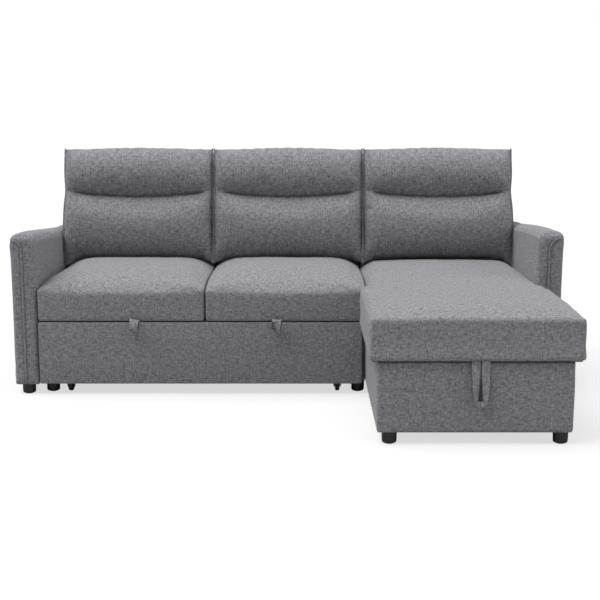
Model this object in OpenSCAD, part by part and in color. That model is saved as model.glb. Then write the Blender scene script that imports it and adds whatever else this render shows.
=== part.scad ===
// Sectional sleeper sofa: two seats over a pull-out bed, beside a storage chaise with a lifting lid.
// Left and right are as seen from the front, which faces -Y. All lengths are in millimetres.
// Every module draws from the front plane of the two seats (Y = 0) and placed() moves it home.

/* [Overall] */
// Width of one back place between the arms
place_w = 636; // [610:2:690]
// Thickness of an arm
arm_w = 93; // [86:1:120]
// Depth from the front plane to the rear of the sofa
sofa_depth = 850; // [820:5:920]
// Height of the arms at their front
arm_h = 628; // [580:2:680]
// How far an arm drops towards the rear
arm_drop = 36; // [0:2:50]
// Height of the backs
back_h = 912; // [870:2:980]
// Height of the feet
foot_h = 45; // [40:1:70]
// Height of the seat frames above the feet
frame_h = 239; // [232:1:260]

/* [Seat cushions] */
// Depth from the front plane to the foot of the backs
back_line = 606; // [600:2:640]
// Height of a seat cushion at its edge
cushion_h = 150; // [120:2:152]
// Rise of a seat cushion at its middle
cushion_crown = 17; // [6:1:30]
// How far the cushion joint lies right of the place line
cushion_shift = 5; // [0:1:20]
// Gap between neighbouring seat cushions
cushion_gap = 4; // [2:1:8]
// Thickness of the foam core of a seat
foam_h = 110; // [80:2:115]
// Margin of cover and wadding round a foam core
foam_margin = 40; // [34:1:60]

/* [Back cushions] */
// Lean of the backs in degrees
recline = 11; // [8:0.5:13]
// Thickness of a back cushion above its seam
back_t = 124; // [100:2:126]
// Extra thickness of the lumbar roll below the seam
lumbar = 26; // [8:1:28]
// Height of the curved seam's ends above the cushion's bottom
seam_h = 268; // [230:2:300]
// Depth of the curved seam
seam_d = 22; // [8:1:30]
// Sag of the curved seam at its middle
seam_sag = 26; // [0:1:36]
// Gap between neighbouring back cushions
back_gap = 5; // [3:1:10]
// Height of the back cushions' bottom above the seat frame
back_lift = 158; // [156:2:190]

/* [Chaise] */
// Reach of the chaise box in front of the two seats
chaise_reach = 652; // [560:4:760]
// How far the chaise box reaches past its own back, towards the middle
box_shift = 14; // [8:1:20]
// Depth from the front plane to the rear of the lid
lid_depth = 545; // [530:5:548]
// Overhang of the lid at each side
lid_overhang = 34; // [20:1:44]
// Overhang of the lid at the front
lid_lip = 16; // [8:1:24]
// Gap between the seats' front plane and the wide part of the lid
neck_gap = 60; // [54:1:90]
// Running gap beside the narrow part of the lid
lid_gap = 3; // [2:0.5:6]
// Height of the lid cushion at its edge
lid_h = 148; // [120:2:170]
// Rise of the lid cushion at its middle
lid_crown = 14; // [6:1:24]
// Thickness of the lid's foam core
lid_foam_h = 104; // [80:2:108]
// Height of the fixed seat pad behind the lid
rear_pad_h = 150; // [120:2:152]

/* [Boards and covers] */
// Thickness of frame boards
board_t = 18; // [15:1:22]
// Thickness of the chaise box walls
wall_t = 16; // [14:1:20]
// Thickness of the chaise floor
floor_t = 12; // [9:1:15]
// Thickness of the padded cover on a box
pad_t = 8; // [6:1:10]
// Thickness of the plain cover at the rear
skin_t = 4; // [3:1:5]
// Thickness of the arm's core board
core_t = 30; // [24:1:36]
// Height of the rails that carry the seat webbing
rail_h = 44; // [36:1:44]
// Thickness of the seat webbing
webbing_t = 3; // [2:0.5:4]
// Width of a webbing band
webbing_w = 60; // [40:2:70]

/* [Feet] */
// Diameter of a foot at its top
foot_d = 52; // [44:1:56]
// Diameter of a foot at the floor
foot_floor_d = 47; // [40:1:52]
// Diameter of a foot's threaded stud
stud_d = 8; // [6:1:10]
// Length of a foot's threaded stud
stud_l = 24; // [16:1:26]
// Clearance round a threaded stud
stud_clearance = 0.2; // [0.1:0.05:0.5]

/* [Pull-out bed] */
// Depth of the pull-out bed from the front plane
bed_depth = 600; // [570:5:605]
// Diameter of a caster wheel
wheel_d = 50; // [44:1:54]
// Width of a caster wheel
wheel_w = 18; // [16:1:24]
// Diameter of a caster axle
axle_d = 8; // [6:1:10]
// Running clearance of wheels, arms and hinges on their pins
pin_clearance = 0.08; // [0.05:0.01:0.1]
// Distance of a caster from the end of the front panel
caster_inset = 101; // [95:1:112]
// How far both casters sit right of even
caster_shift = 7; // [0:1:9]
// Width of a lower bed rail
bed_rail_w = 40; // [34:1:44]
// Height of a bed rail
bed_rail_h = 34; // [28:1:38]
// Thickness of a bed slat
slat_t = 10; // [8:1:12]
// Height of the bed's sleeping pad
bed_pad_h = 62; // [50:1:66]
// Gap between the pull-out bed and its nylon glides
glide_gap = 0.4; // [0.3:0.1:1]

/* [Lid hardware] */
// Diameter of a lid hinge pin
hinge_pin_d = 10; // [8:1:12]
// Outer diameter of a hinge knuckle
knuckle_d = 18; // [16:1:22]
// Thickness of hinge plates
plate_t = 3; // [2.5:0.5:4]
// Width of a hinge plate
hinge_w = 40; // [34:1:60]
// Diameter of a gas spring's cylinder
gas_d = 20; // [16:1:24]
// Diameter of a gas spring's rod
rod_d = 8; // [6:1:10]
// Distance of a gas spring from the box wall
gas_inset = 18; // [16:1:26]

/* [Loops] */
// Width of the lid's pull band
band_w = 28; // [22:1:34]
// Thickness of the pull bands
band_t = 3.6; // [3:0.2:5]
// Length of the lid's pull loop
loop_l = 158; // [110:2:180]
// Width of the finger slot at its foot
slot_w = 14; // [10:1:20]
// Width of a bed pull tab
tab_w = 30; // [24:1:40]
// Outer diameter of a bed pull tab's loop
tab_d = 26; // [20:1:30]

/* [Hidden] */
$fn = 48;

// Main lines across the sofa
half_in = 1.5 * place_w;
half_w = half_in + arm_w;
back_joint = place_w / 2;
box_joint = back_joint - box_shift;
seat_joint = cushion_shift - place_w / 2;
deck_z = foot_h + frame_h;
box_bottom = foot_h;
rear_in = sofa_depth - skin_t;
lid_front = -(chaise_reach + lid_lip);
front_y = -(sofa_depth + lid_front) / 2;
snug = 0.3;

// Two-seat frame
side_l = [-half_in, -half_in + board_t];
side_r = [box_joint - 2 - board_t, box_joint - 2];
frame_front = 34;
rail_t = 22;
seat_base = deck_z + webbing_t;

// Chaise box
box_x = [box_joint, half_in - 6];
box_in = [box_x[0] + pad_t + wall_t, box_x[1] - pad_t - wall_t];
box_front = -chaise_reach;
bulkhead_y = [lid_depth - 18, lid_depth - 18 + wall_t];
foot_block = 50;
foot_block_h = 18;

// Lid
lid_rear = lid_depth;
board_x = [box_joint + lid_gap + 1, half_in - lid_gap - 1];
wide_x = [box_x[0] - lid_overhang, box_x[1] + lid_overhang];
neck_x = [box_joint + lid_gap, half_in - lid_gap];
wide_rear = -neck_gap;
board_margin = 14;
lid_base = deck_z + 5;

// Lid hinge: its axis lies just behind the lid's upper rear edge
hinge_set_back = 15;
hinge_rise = 136;
hinge_y = lid_rear + hinge_set_back;
hinge_z = lid_base + hinge_rise;
hinge_x = [box_in[0] + 84, box_in[1] - 84];
knuckle_w = 18;
ear_w = (hinge_w - knuckle_w) / 2 - snug;

// Gas springs: lower pivot on the box wall, upper pivot under the lid board
gas_foot_reach = 60;
gas_foot_lift = 65;
gas_head_reach = 340;
gas_head_drop = 14;
gas_end = 52;
gas_foot = [hinge_y - gas_foot_reach, box_bottom + gas_foot_lift];
gas_head = [hinge_y - gas_head_reach, deck_z - gas_head_drop];
gas_x = [box_in[0] + gas_inset, box_in[1] - gas_inset];
gas_angle = atan2(gas_head[1] - gas_foot[1], gas_head[0] - gas_foot[0]);
gas_len = norm(gas_head - gas_foot);
gas_tube_l = gas_len - gas_end;
eye_d = 16;
eye_t = 6;
gas_pin_d = 6;

// Pull-out bed
panel_x = [-half_in + 2, box_joint - 14];
panel_front = [-2, 10];
panel_board_y = [10, 10 + board_t];
panel_top = deck_z - 1;
caster_x = [panel_x[0] + caster_inset + caster_shift, panel_x[1] - caster_inset + caster_shift];
wheel_z = wheel_d / 2;
lower_rail_z = [wheel_d + 12, wheel_d + 12 + bed_rail_h];
bed_rear = bed_depth;
caster_y = [62, bed_rear - 46];
upper_rail_z = [lower_rail_z[1] + 26, lower_rail_z[1] + 26 + bed_rail_h];
glide_t = 6;
bed_side_x = [side_l[1] + glide_t + glide_gap, side_r[0] - glide_t - glide_gap];
upper_rail_w = 30;
slat_z = upper_rail_z[1];
pad_z = slat_z + slat_t;
wheel_hub_d = 22;

// Feet: [x, y] places, a pair under each outer arm, under the seat frame and under the chaise
arm_mid = half_in + arm_w / 2;
foot_front_y = 28;
foot_rear_y = sofa_depth - 40;
arm_foot_places = [for (x = [-arm_mid, arm_mid], y = [foot_front_y, foot_rear_y]) [x, y]];
seat_foot_x = [side_l[0] + 40, side_r[1] - 26];
seat_foot_y = [frame_front + 28, foot_rear_y];
seat_foot_places = [for (x = seat_foot_x, y = seat_foot_y) [x, y]];
chaise_foot_x = [box_x[0] + 43, box_x[1] - 31];
chaise_foot_y = [box_front + 29, bulkhead_y[0] - 26];
chaise_foot_places = [for (x = chaise_foot_x, y = chaise_foot_y) [x, y]];

// Moves a piece from the front plane of the seats to its place about the middle of the sofa
module placed() translate([0, front_y, 0]) children();

// Box between two places along each axis
module slab(x, y, z) translate([x[0], y[0], z[0]]) cube([x[1] - x[0], y[1] - y[0], z[1] - z[0]]);

// Two places in rising order
function span(a, b) = [min(a, b), max(a, b)];

// Round bar along X between two places
module bar_x(x, y, z, d) translate([x[0], y, z]) rotate([0, 90, 0]) cylinder(h = x[1] - x[0], d = d);

// Prism along X over an outline of [y, z] points
module prism_x(x, outline)
    translate([x[0], 0, 0]) rotate([90, 0, 90]) linear_extrude(x[1] - x[0]) polygon(outline);

// Middle of a ring of points
function ring_mid(ring) = [for (k = [0:2]) [for (p = ring) 1] * [for (p = ring) p[k]] / len(ring)];

// Closed solid through rings with equal counts of points; it closes on its end rings' middles or on given tips
module loft(rings, ends = undef) {
    n = len(rings[0]);
    m = len(rings);
    tips = is_undef(ends) ? [ring_mid(rings[0]), ring_mid(rings[m - 1])] : ends;
    points = concat([for (r = rings) each r], tips);
    walls = [for (i = [0:m - 2], j = [0:n - 1]) let (a = i * n + j, b = i * n + (j + 1) % n)
        each [[a, b, b + n], [a, b + n, a + n]]];
    caps = [for (j = [0:n - 1]) each [[m * n, (j + 1) % n, j],
        [m * n + 1, (m - 1) * n + j, (m - 1) * n + (j + 1) % n]]];
    polyhedron(points, concat(walls, caps));
}

// Quarter-round stations: [distance from the end, inset there] for an edge of radius r
function edge_steps(r, n = 3) = [for (i = [0:n]) let (a = 90 * i / n) [r * (1 - cos(a)), r * (1 - sin(a))]];

// Stations along a length: rounded ends, then even steps between; each is [place, inset]
function stations(a, b, r, n) = concat(
    [for (s = edge_steps(r)) [a + s[0], s[1]]],
    [for (i = [1:n]) [a + r + (b - a - 2 * r) * i / (n + 1), 0]],
    [for (i = [3:-1:0]) let (s = edge_steps(r)[i]) [b - s[0], s[1]]]);

// One section of a box cushion across its depth: flat base, crowned top, faces drawn in between corners
function seat_ring(x, u, inset, y, z0, h, crown) = let (
    r = 26,
    draw = 3 * (1 - pow(u, 4)),
    f = y[0] + inset * 0.5 + draw,
    b = y[1] - inset * 0.5 - draw,
    top = z0 + h - inset * 0.8)
    concat(
        [[x, b - 6, z0], [x, f + 4, z0], [x, f, z0 + 6], [x, f + 1.5, z0 + h * 0.4], [x, f, top - r]],
        [for (a = [20:20:80]) [x, f + r * (1 - cos(a)), top - r + r * sin(a)]],
        [for (i = [0:8]) let (v = -1 + i / 4) [x, (f + b) / 2 + v * ((b - f) / 2 - r),
            top + crown * (1 - pow(u, 4)) * (1 - v * v)]],
        [for (a = [80:-20:20]) [x, b - r * (1 - cos(a)), top - r + r * sin(a)]],
        [[x, b, top - r], [x, b, z0 + 6]]);

module seat_form(x, y, z0, h, crown) {
    mid = (x[0] + x[1]) / 2;
    half = (x[1] - x[0]) / 2;
    loft([for (s = stations(x[0], x[1], 20, 7)) seat_ring(s[0], (s[0] - mid) / half, s[1], y, z0, h, crown)]);
}

// One section of a back cushion, [forward, up] from the foot of its rear face; its bottom stays level
back_top_in = 48;
function back_ring(x0, half, u, inset, tall) = let (
    edge = 1 - pow(abs(u), 6),
    t = back_t * (0.84 + 0.16 * edge) - inset,
    low = lumbar * edge - 12,
    seam = seam_h - seam_sag * (1 - u * u),
    cut = seam_d * (1 - pow(abs(u), 8)),
    dip = tan(recline),
    c = t * 0.4,
    w = half - back_gap / 2,
    outline = concat(
        [[0, 10 + inset], [20, inset - 20 * dip]],
        [for (a = [0:20:80]) [c + (t + low - c) * sin(a), 90 + inset - (90 + c * dip) * cos(a)]],
        [for (k = [1:4]) let (a = k / 5)
            [(t + low) * (1 - a) + (t + 8) * a + 12 * sin(180 * a), 90 + inset + (seam - 108 - inset) * a]],
        [[t + 5, seam - 14], [t + 8 - cut, seam - 4], [t + 8 - cut, seam + 4], [t + 5, seam + 14]],
        [for (k = [1:3]) let (a = k / 4)
            [t + 5 - 23 * a + 10 * sin(180 * a), seam + 14 + (tall - 48 - seam) * a]],
        [[t - 18, tall - 34 - inset], [t - 30, tall - 14 - inset], [t - back_top_in, tall - 3 - inset],
            [t * 0.3, tall - inset], [t * 0.15, tall - 2 - inset], [0, tall - 16 - inset]]))
    [for (p = outline) let (waist = 9 * exp(-pow((p[1] - seam_h) / 60, 2)) + 5 * pow(1 - p[1] / tall, 4))
        [x0 + u * (w - waist * abs(u)), -p[0], p[1]]];

back_tall = (back_h - deck_z - back_lift - (back_t - back_top_in) * sin(recline)) / cos(recline) + 3;

module back_form(x) {
    mid = (x[0] + x[1]) / 2;
    half = (x[1] - x[0]) / 2;
    ends = [[-1, 22], [-0.992, 12], [-0.972, 4]];
    places = concat(ends, [for (u = [-0.94, -0.82, -0.62, -0.36, -0.12]) [u, 0]]);
    both = concat(places, [for (i = [7:-1:0]) [-places[i][0], places[i][1]]]);
    translate([0, back_line + back_lift * tan(recline) - snug, deck_z + back_lift])
        rotate([-recline, 0, 0])
            loft([for (s = both) back_ring(mid, half, s[0], s[1], back_tall)]);
}

// Plan of the T-shaped lid, set in by a margin; counter-clockwise from the front left corner
function lid_plan(wide, neck, front, rear, m) = [
    [wide[0] + m, front + m], [wide[1] - m, front + m],
    [wide[1] - m, wide_rear - m], [neck[1] - m, wide_rear - m],
    [neck[1] - m, rear - m], [neck[0] + m, rear - m],
    [neck[0] + m, wide_rear - m], [wide[0] + m, wide_rear - m]];

// Points round the lid's edge: straight runs cut in steps, corners rounded
lid_corner = 22;
lid_side_steps = [7, 5, 1, 5, 6, 5, 1, 5];
lid_outline = let (p = lid_plan(wide_x, neck_x, lid_front, lid_rear - 3, 0), c = lid_corner) [
    for (i = [0:7]) let (a = p[i], b = p[(i + 1) % 8], d = (b - a) / norm(b - a), n = lid_side_steps[i],
        ca = (i == 4 || i == 7) ? 12 : c, cb = (i == 2 || i == 6) ? 10 : c, q = min(ca, norm(b - a) * 0.35),
        q2 = min(cb, norm(b - a) * 0.35))
        for (k = [0:n]) a + d * (q + (norm(b - a) - q - q2) * k / n)];

lid_mid = [(wide_x[0] + wide_x[1]) / 2, wide_rear - 130];
function lid_ring(s, z) = [for (p = lid_outline) let (d = p - lid_mid, share = d[1] < 0 ? s[1] : s[2])
    [lid_mid[0] + d[0] * s[0], lid_mid[1] + d[1] * share, z]];

// Shares that set the outline in by i at its sides, its front and its rear
lid_reach = [(wide_x[1] - wide_x[0]) / 2, lid_mid[1] - lid_front, lid_rear - lid_mid[1]];
function lid_inset(i) = [for (reach = lid_reach) 1 - i / reach];

module lid_form() {
    edge = [[7, 0], [1, 6], [0, 20], [3, lid_h * 0.45], [1, lid_h - 26], [3, lid_h - 14], [10, lid_h - 5],
        [24, lid_h]];
    loft(concat([for (e = edge) lid_ring(lid_inset(e[0]), lid_base + e[1])],
        [for (s = [0.85, 0.7, 0.5, 0.3, 0.12])
            lid_ring([s, s, s], lid_base + lid_h + lid_crown * (1 - s * s))]),
        [[lid_mid[0], lid_mid[1], lid_base], [lid_mid[0], lid_mid[1], lid_base + lid_h + lid_crown]]);
}

// One section of an arm across its thickness, [x, z], for the left arm; the front end is softly rounded
function arm_ring(y, inset, top) = let (
    o = -half_w + inset * 0.8,
    i = -half_in - inset,
    t = top - inset * 1.4,
    low = box_bottom + inset * 0.2)
    [for (p = concat(
        [[o + 8, low], [o + 2, low + 8], [o, low + 60], [o, (low + t) / 2], [o, t - 60]],
        [for (a = [0:22.5:90]) [o + 26 * (1 - cos(a)), t - 34 + 26 * sin(a)]],
        [[(o + i) / 2 - 4, t], [(o + i) / 2 + 12, t - 1]],
        [for (a = [80:-20:0]) [i - 26 * (1 - cos(a)), t - 34 + 30 * sin(a)]],
        [[i, t - 70], [i, (low + t) / 2], [i, low + 60], [i, low]])) [p[0], y, p[1]]];

function arm_top(y) = arm_h - arm_drop * y / sofa_depth;

module arm_form() {
    steps = concat([[0, 7], [3, 2], [12, 0]], [for (i = [1:4]) [sofa_depth * i / 5, 0]],
        [for (e = [[30, 0], [16, 1.5], [7, 5], [2, 11], [0, 18]]) [sofa_depth - e[0], e[1]]]);
    loft([for (s = steps) let (y = sofa_depth - s[0]) arm_ring(y, s[1], arm_top(y))]);
}

// Core board of an arm, in the middle of its thickness
core_x = [-arm_mid - core_t / 2, -arm_mid + core_t / 2];
core_outline = [[14, box_bottom], [rear_in - 22, box_bottom], [rear_in - 22, arm_top(rear_in) - 44],
    [14, arm_top(14) - 44]];

module stud_holes(places, depth) for (p = places)
    translate([p[0], p[1], box_bottom]) cylinder(h = depth, d = stud_d + 2 * stud_clearance);

// Bolts that join an arm to the frame beside it
bolt_d = 8;
bolt_head_d = 18;
bolt_head_t = 5;
bolt_z = [box_bottom + 40, deck_z - 50];
bolt_y = [150, 440, 700];

module arm_bolt_holes(x, d) for (y = bolt_y, z = bolt_z) bar_x(x, y, z, d);

module arm_core_shape() difference() {
    prism_x(core_x, core_outline);
    stud_holes(arm_foot_places, stud_l + 2);
    arm_bolt_holes([-arm_mid, -half_in], bolt_d);
}

module arm_cover_shape() difference() {
    arm_form();
    prism_x(core_x, core_outline);
    arm_bolt_holes([-arm_mid, -half_in + 1], bolt_d + 2 * stud_clearance);
}

module left_arm_core() color("burlywood") placed() arm_core_shape();
module left_arm_cover() color("dimgray") placed() arm_cover_shape();
module right_arm_core() color("burlywood") placed() mirror([1, 0, 0]) arm_core_shape();
module right_arm_cover() color("dimgray") placed() mirror([1, 0, 0]) arm_cover_shape();

// Arm bolts run from the inner face of a frame board into the arm's core; back bolts run down into the boxes
module frame_bolts() color("silver") placed() {
    for (y = bolt_y, z = bolt_z) {
        bar_x([side_l[1], side_l[1] + bolt_head_t], y, z, bolt_head_d);
        bar_x([-arm_mid + 1, side_l[1]], y, z, bolt_d);
        bar_x([box_in[1] - bolt_head_t, box_in[1]], y, z, bolt_head_d);
        bar_x([box_in[1], arm_mid - 1], y, z, bolt_d);
    }
    for (x = concat(sofa_bolt_x, chaise_bolt_x)) translate([x, back_bolt_y, deck_z]) {
        translate([0, 0, board_t]) cylinder(h = bolt_head_t, d = bolt_head_d * 0.8);
        translate([0, 0, -back_bolt_l]) cylinder(h = back_bolt_l + board_t, d = bolt_d);
    }
}

// Tapered foot with a threaded stud in its top
module foot(p) translate([p[0], p[1], 0]) {
    cylinder(h = 3, d1 = foot_floor_d - 5, d2 = foot_floor_d);
    translate([0, 0, 3]) cylinder(h = foot_h - 3, d1 = foot_floor_d, d2 = foot_d);
    translate([0, 0, foot_h]) cylinder(h = stud_l, d = stud_d);
}

module outer_feet() color("black") placed() for (p = concat(arm_foot_places, seat_foot_places)) foot(p);
module chaise_feet() color("black") placed() for (p = chaise_foot_places) foot(p);

// Side board of the seat frame with a foot block at each end; the block stands on the inner side
module seat_side(board, block) difference() {
    union() {
        slab(board, [frame_front, rear_in], [box_bottom, deck_z]);
        for (y = seat_foot_y)
            slab(block, [y - 26, min(y + 26, rear_in - board_t)], [box_bottom, box_bottom + stud_l + 6]);
    }
    stud_holes(seat_foot_places, stud_l + 1);
    arm_bolt_holes([-half_in - 1, -half_in + board_t + 1], bolt_d + 2 * stud_clearance);
}

module seat_side_left() color("burlywood") placed() seat_side(side_l, [side_l[1], side_l[1] + 46]);
module seat_side_right() color("burlywood") placed() seat_side(side_r, [side_r[0] - 46, side_r[0]]);

rear_rail_y = [back_line - 4, back_line - 4 + rail_t];
module seat_cross_rails() color("burlywood") placed() {
    for (y = [[frame_front, frame_front + rail_t], rear_rail_y])
        slab([side_l[1], side_r[0]], y, [deck_z - rail_h, deck_z]);
}

module seat_rear_board() color("burlywood") placed() difference() {
    slab([side_l[1], side_r[0]], [rear_in - board_t, rear_in], [box_bottom, deck_z]);
    back_bolt_holes(sofa_bolt_x);
}

// Woven webbing stretched over the rails
module seat_webbing() color("black") placed() {
    x = [side_l[0] + 8, side_r[1] - 4];
    y = [frame_front + 2, back_line];
    z = [deck_z, deck_z + webbing_t];
    across = floor((x[1] - x[0] - webbing_w) / (2.3 * webbing_w));
    along = floor((y[1] - y[0] - webbing_w) / (2.3 * webbing_w));
    for (i = [0:across]) let (a = x[0] + (x[1] - x[0] - webbing_w) * i / across)
        slab([a, a + webbing_w], y, z);
    for (i = [0:along]) let (a = y[0] + (y[1] - y[0] - webbing_w) * i / along)
        slab(x, [a, a + webbing_w], z);
}

// Nylon strips that keep the pull-out bed straight
module bed_glides() color("ivory") placed() {
    for (x = [[side_l[1], side_l[1] + glide_t], [side_r[0] - glide_t, side_r[0]]])
        slab(x, [frame_front + 30, back_line - 20], [upper_rail_z[0] + 6, upper_rail_z[1] - 6]);
}

// Seat cushions: a foam core in a crowned cover that is open below
left_seat_x = [-half_in + 2, seat_joint - cushion_gap / 2];
middle_seat_x = [seat_joint + cushion_gap / 2, box_joint - 1];
seat_y = [-3, back_line - 6];
function core_box(x, y) = [for (a = [x, y]) [a[0] + foam_margin, a[1] - foam_margin]];

module foam_core(x, y, z0, h) let (c = core_box(x, y)) slab(c[0], c[1], [z0, z0 + h]);

module seat_cover(x) difference() {
    seat_form(x, seat_y, seat_base, cushion_h, cushion_crown);
    foam_core(x, seat_y, seat_base, foam_h);
}

module left_seat_foam() color("khaki") placed() foam_core(left_seat_x, seat_y, seat_base, foam_h);
module left_seat_cover() color("dimgray") placed() seat_cover(left_seat_x);
module middle_seat_foam() color("khaki") placed() foam_core(middle_seat_x, seat_y, seat_base, foam_h);
module middle_seat_cover() color("dimgray") placed() seat_cover(middle_seat_x);

// Back frames: a leaning front board with wedge ribs behind it
frame_top = back_h - 32;
back_foot = [back_line, deck_z];
back_head = [back_line + (frame_top - deck_z) * tan(recline), frame_top];
board_run = board_t / cos(recline);
back_wedge = [back_foot, [rear_in, deck_z], [rear_in, frame_top], back_head];
back_strip = [back_foot, back_foot + [board_run, 0], back_head + [board_run, 0], back_head];
rib_pitch = 205;

module back_frame(x) {
    ribs = ceil((x[1] - x[0]) / rib_pitch);
    prism_x(x, back_strip);
    for (i = [0:ribs]) let (a = x[0] + (x[1] - x[0] - board_t) * i / ribs)
        prism_x([a, a + board_t], back_wedge);
    slab(x, [back_foot[0] + board_t * tan(recline) + 1, rear_in], [deck_z, deck_z + board_t]);
    slab(x, [back_head[0], rear_in], [frame_top - board_t, frame_top]);
}

// Taut cover over the frame's ends, top and rear; the rear sheet runs down over the box
module back_cover(x) {
    slab(x, [rear_in, sofa_depth], [box_bottom, frame_top + skin_t]);
    slab(x, [back_head[0] + 2, rear_in], [frame_top, frame_top + skin_t]);
    for (a = [x[0], x[1] - skin_t]) prism_x([a, a + skin_t], back_wedge);
}

sofa_back_x = [-half_in + 2, back_joint - 2];
chaise_back_x = [back_joint + 2, half_in - 2];
function inside_cover(x) = [x[0] + skin_t, x[1] - skin_t];

module sofa_back_frame() color("burlywood") placed() difference() {
    back_frame(inside_cover(sofa_back_x));
    back_bolt_holes(sofa_bolt_x);
}
module chaise_back_frame() color("burlywood") placed() difference() {
    back_frame(inside_cover(chaise_back_x));
    back_bolt_holes(chaise_bolt_x);
}
module sofa_back_cover() color("dimgray") placed() back_cover(sofa_back_x);
module chaise_back_cover() color("dimgray") placed() back_cover(chaise_back_x);

// Bolts that hold each back down on the rear board of its box
back_bolt_y = rear_in - wall_t / 2;
sofa_bolt_x = [sofa_back_x[0] + 130, sofa_back_x[1] - 130];
chaise_bolt_x = [chaise_back_x[0] + 110, chaise_back_x[1] - 110];
back_bolt_l = 60;

module back_bolt_holes(xs) for (x = xs)
    translate([x, back_bolt_y, deck_z - back_bolt_l]) cylinder(h = back_bolt_l + board_t, d = bolt_d);

left_back_x = [-half_in + 1, -back_joint];
middle_back_x = [-back_joint, back_joint];
right_back_x = [back_joint, half_in - 1];
module left_back_cushion() color("dimgray") placed() back_form(left_back_x);
module middle_back_cushion() color("dimgray") placed() back_form(middle_back_x);
module right_back_cushion() color("dimgray") placed() back_form(right_back_x);

// Steel plates that hook the two sections together under the boxes
hook_y = [180, 420];
module section_hooks() color("dimgray") placed() for (y = hook_y)
    slab([side_r[0] + 2, box_x[0] + pad_t + wall_t - 2], [y, y + 40], [box_bottom - 4, box_bottom]);

// Chaise box: side walls run the whole depth
module chaise_wall_left() color("burlywood") placed()
    slab([box_x[0] + pad_t, box_in[0]], [box_front + pad_t, rear_in], [box_bottom, deck_z]);
module chaise_wall_right() color("burlywood") placed() difference() {
    slab([box_in[1], box_x[1] - pad_t], [box_front + pad_t, rear_in], [box_bottom, deck_z]);
    arm_bolt_holes([box_in[1] - 1, half_in], bolt_d + 2 * stud_clearance);
}
module chaise_wall_front() color("burlywood") placed()
    slab(box_in, [box_front + pad_t, box_front + pad_t + wall_t], [box_bottom, deck_z]);
module chaise_cross_boards() color("burlywood") placed() difference() {
    for (y = [bulkhead_y, [rear_in - wall_t, rear_in]]) slab(box_in, y, [box_bottom, deck_z]);
    back_bolt_holes(chaise_bolt_x);
}

module chaise_floor() color("burlywood") placed() difference() {
    y = [box_front + pad_t + wall_t, bulkhead_y[0]];
    union() {
        slab(box_in, y, [box_bottom, box_bottom + floor_t]);
        for (a = [box_in[0], box_in[1] - foot_block], b = [y[0], y[1] - foot_block])
            slab([a, a + foot_block], [b, b + foot_block], [box_bottom, box_bottom + floor_t + foot_block_h]);
    }
    stud_holes(chaise_foot_places, stud_l + 1);
}

// Padded skirt round the left, front and right of the chaise box, with round front corners
module skirt_plan(m, r) {
    x = [box_x[0] + m, box_x[1] - m];
    f = box_front + m;
    translate([x[0], f + r]) square([x[1] - x[0], rear_in - f - r]);
    translate([x[0] + r, f]) square([x[1] - x[0] - 2 * r, r + 1]);
    for (a = [x[0] + r, x[1] - r]) translate([a, f + r]) circle(r = r);
}
module chaise_skirt() color("dimgray") placed() difference() {
    translate([0, 0, box_bottom]) linear_extrude(frame_h) skirt_plan(0, pad_t);
    slab([box_x[0] + pad_t, box_x[1] - pad_t], [box_front + pad_t, rear_in + 1],
        [box_bottom - 1, deck_z + 1]);
    arm_bolt_holes([box_x[1] - pad_t - 1, box_x[1] + 1], bolt_d + 2 * stud_clearance);
}

// Lid hinge bracket: up from the bulkhead's rear face, back, and up behind the lid to two ears
bracket_y = bulkhead_y[1];
bracket_back = hinge_y + knuckle_d / 2 - 1;
bracket_outline = [[bracket_y, deck_z - 110], [bracket_y + plate_t, deck_z - 110],
    [bracket_y + plate_t, deck_z - 14 - plate_t], [bracket_back + plate_t, deck_z - 14 - plate_t],
    [bracket_back + plate_t, hinge_z], [bracket_back, hinge_z], [bracket_back, deck_z - 14],
    [bracket_y, deck_z - 14]];

module hinge_bracket(x) difference() {
    union() {
        prism_x([x - hinge_w / 2, x + hinge_w / 2], bracket_outline);
        for (s = [-1, 1]) let (a = x + s * (hinge_w / 2 - ear_w / 2))
            bar_x([a - ear_w / 2, a + ear_w / 2], hinge_y, hinge_z, knuckle_d);
    }
    bar_x([x - hinge_w, x + hinge_w], hinge_y, hinge_z, hinge_pin_d);
    bar_x([x - knuckle_w / 2 - snug, x + knuckle_w / 2 + snug], hinge_y, hinge_z, knuckle_d + 2 * snug + 0.6);
}
module hinge_brackets() color("silver") placed() for (x = hinge_x) hinge_bracket(x);
module hinge_pins() color("silver") placed() for (x = hinge_x) {
    bar_x([x - hinge_w / 2, x + hinge_w / 2], hinge_y, hinge_z, hinge_pin_d);
    for (s = [-1, 1]) let (a = x + s * (hinge_w / 2 + 1.5)) bar_x([a - 1.5, a + 1.5], hinge_y, hinge_z, 14);
}

// Lid hinge strap: screwed to the rear edge of the lid board, up to the middle knuckle
module hinge_strap(x) difference() {
    union() {
        slab([x - knuckle_w / 2, x + knuckle_w / 2], [lid_rear, lid_rear + plate_t],
            [deck_z + 1, hinge_z + 5]);
        slab([x - knuckle_w / 2, x + knuckle_w / 2], [lid_rear, hinge_y - 4], [hinge_z - 5, hinge_z + 5]);
        bar_x([x - knuckle_w / 2, x + knuckle_w / 2], hinge_y, hinge_z, knuckle_d);
    }
    bar_x([x - knuckle_w, x + knuckle_w], hinge_y, hinge_z, hinge_pin_d + 2 * pin_clearance);
}
module hinge_straps() color("silver") placed() for (x = hinge_x) hinge_strap(x);

// Fixed pad behind the lid: it fills the seat up to the foot of the back
rear_pad_y = bracket_back + plate_t + 3;
module chaise_rear_pad() color("dimgray") placed() {
    z = [deck_z, deck_z + rear_pad_h];
    face = back_line - snug;
    prism_x([neck_x[0] + 2, neck_x[1] - 1], concat(
        [[rear_pad_y, z[0]], [face, z[0]], [face + rear_pad_h * tan(recline), z[1]]],
        [for (a = [0:15:90]) [rear_pad_y + 16 - 16 * sin(a), z[1] - 16 + 16 * cos(a)]]));
}

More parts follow.
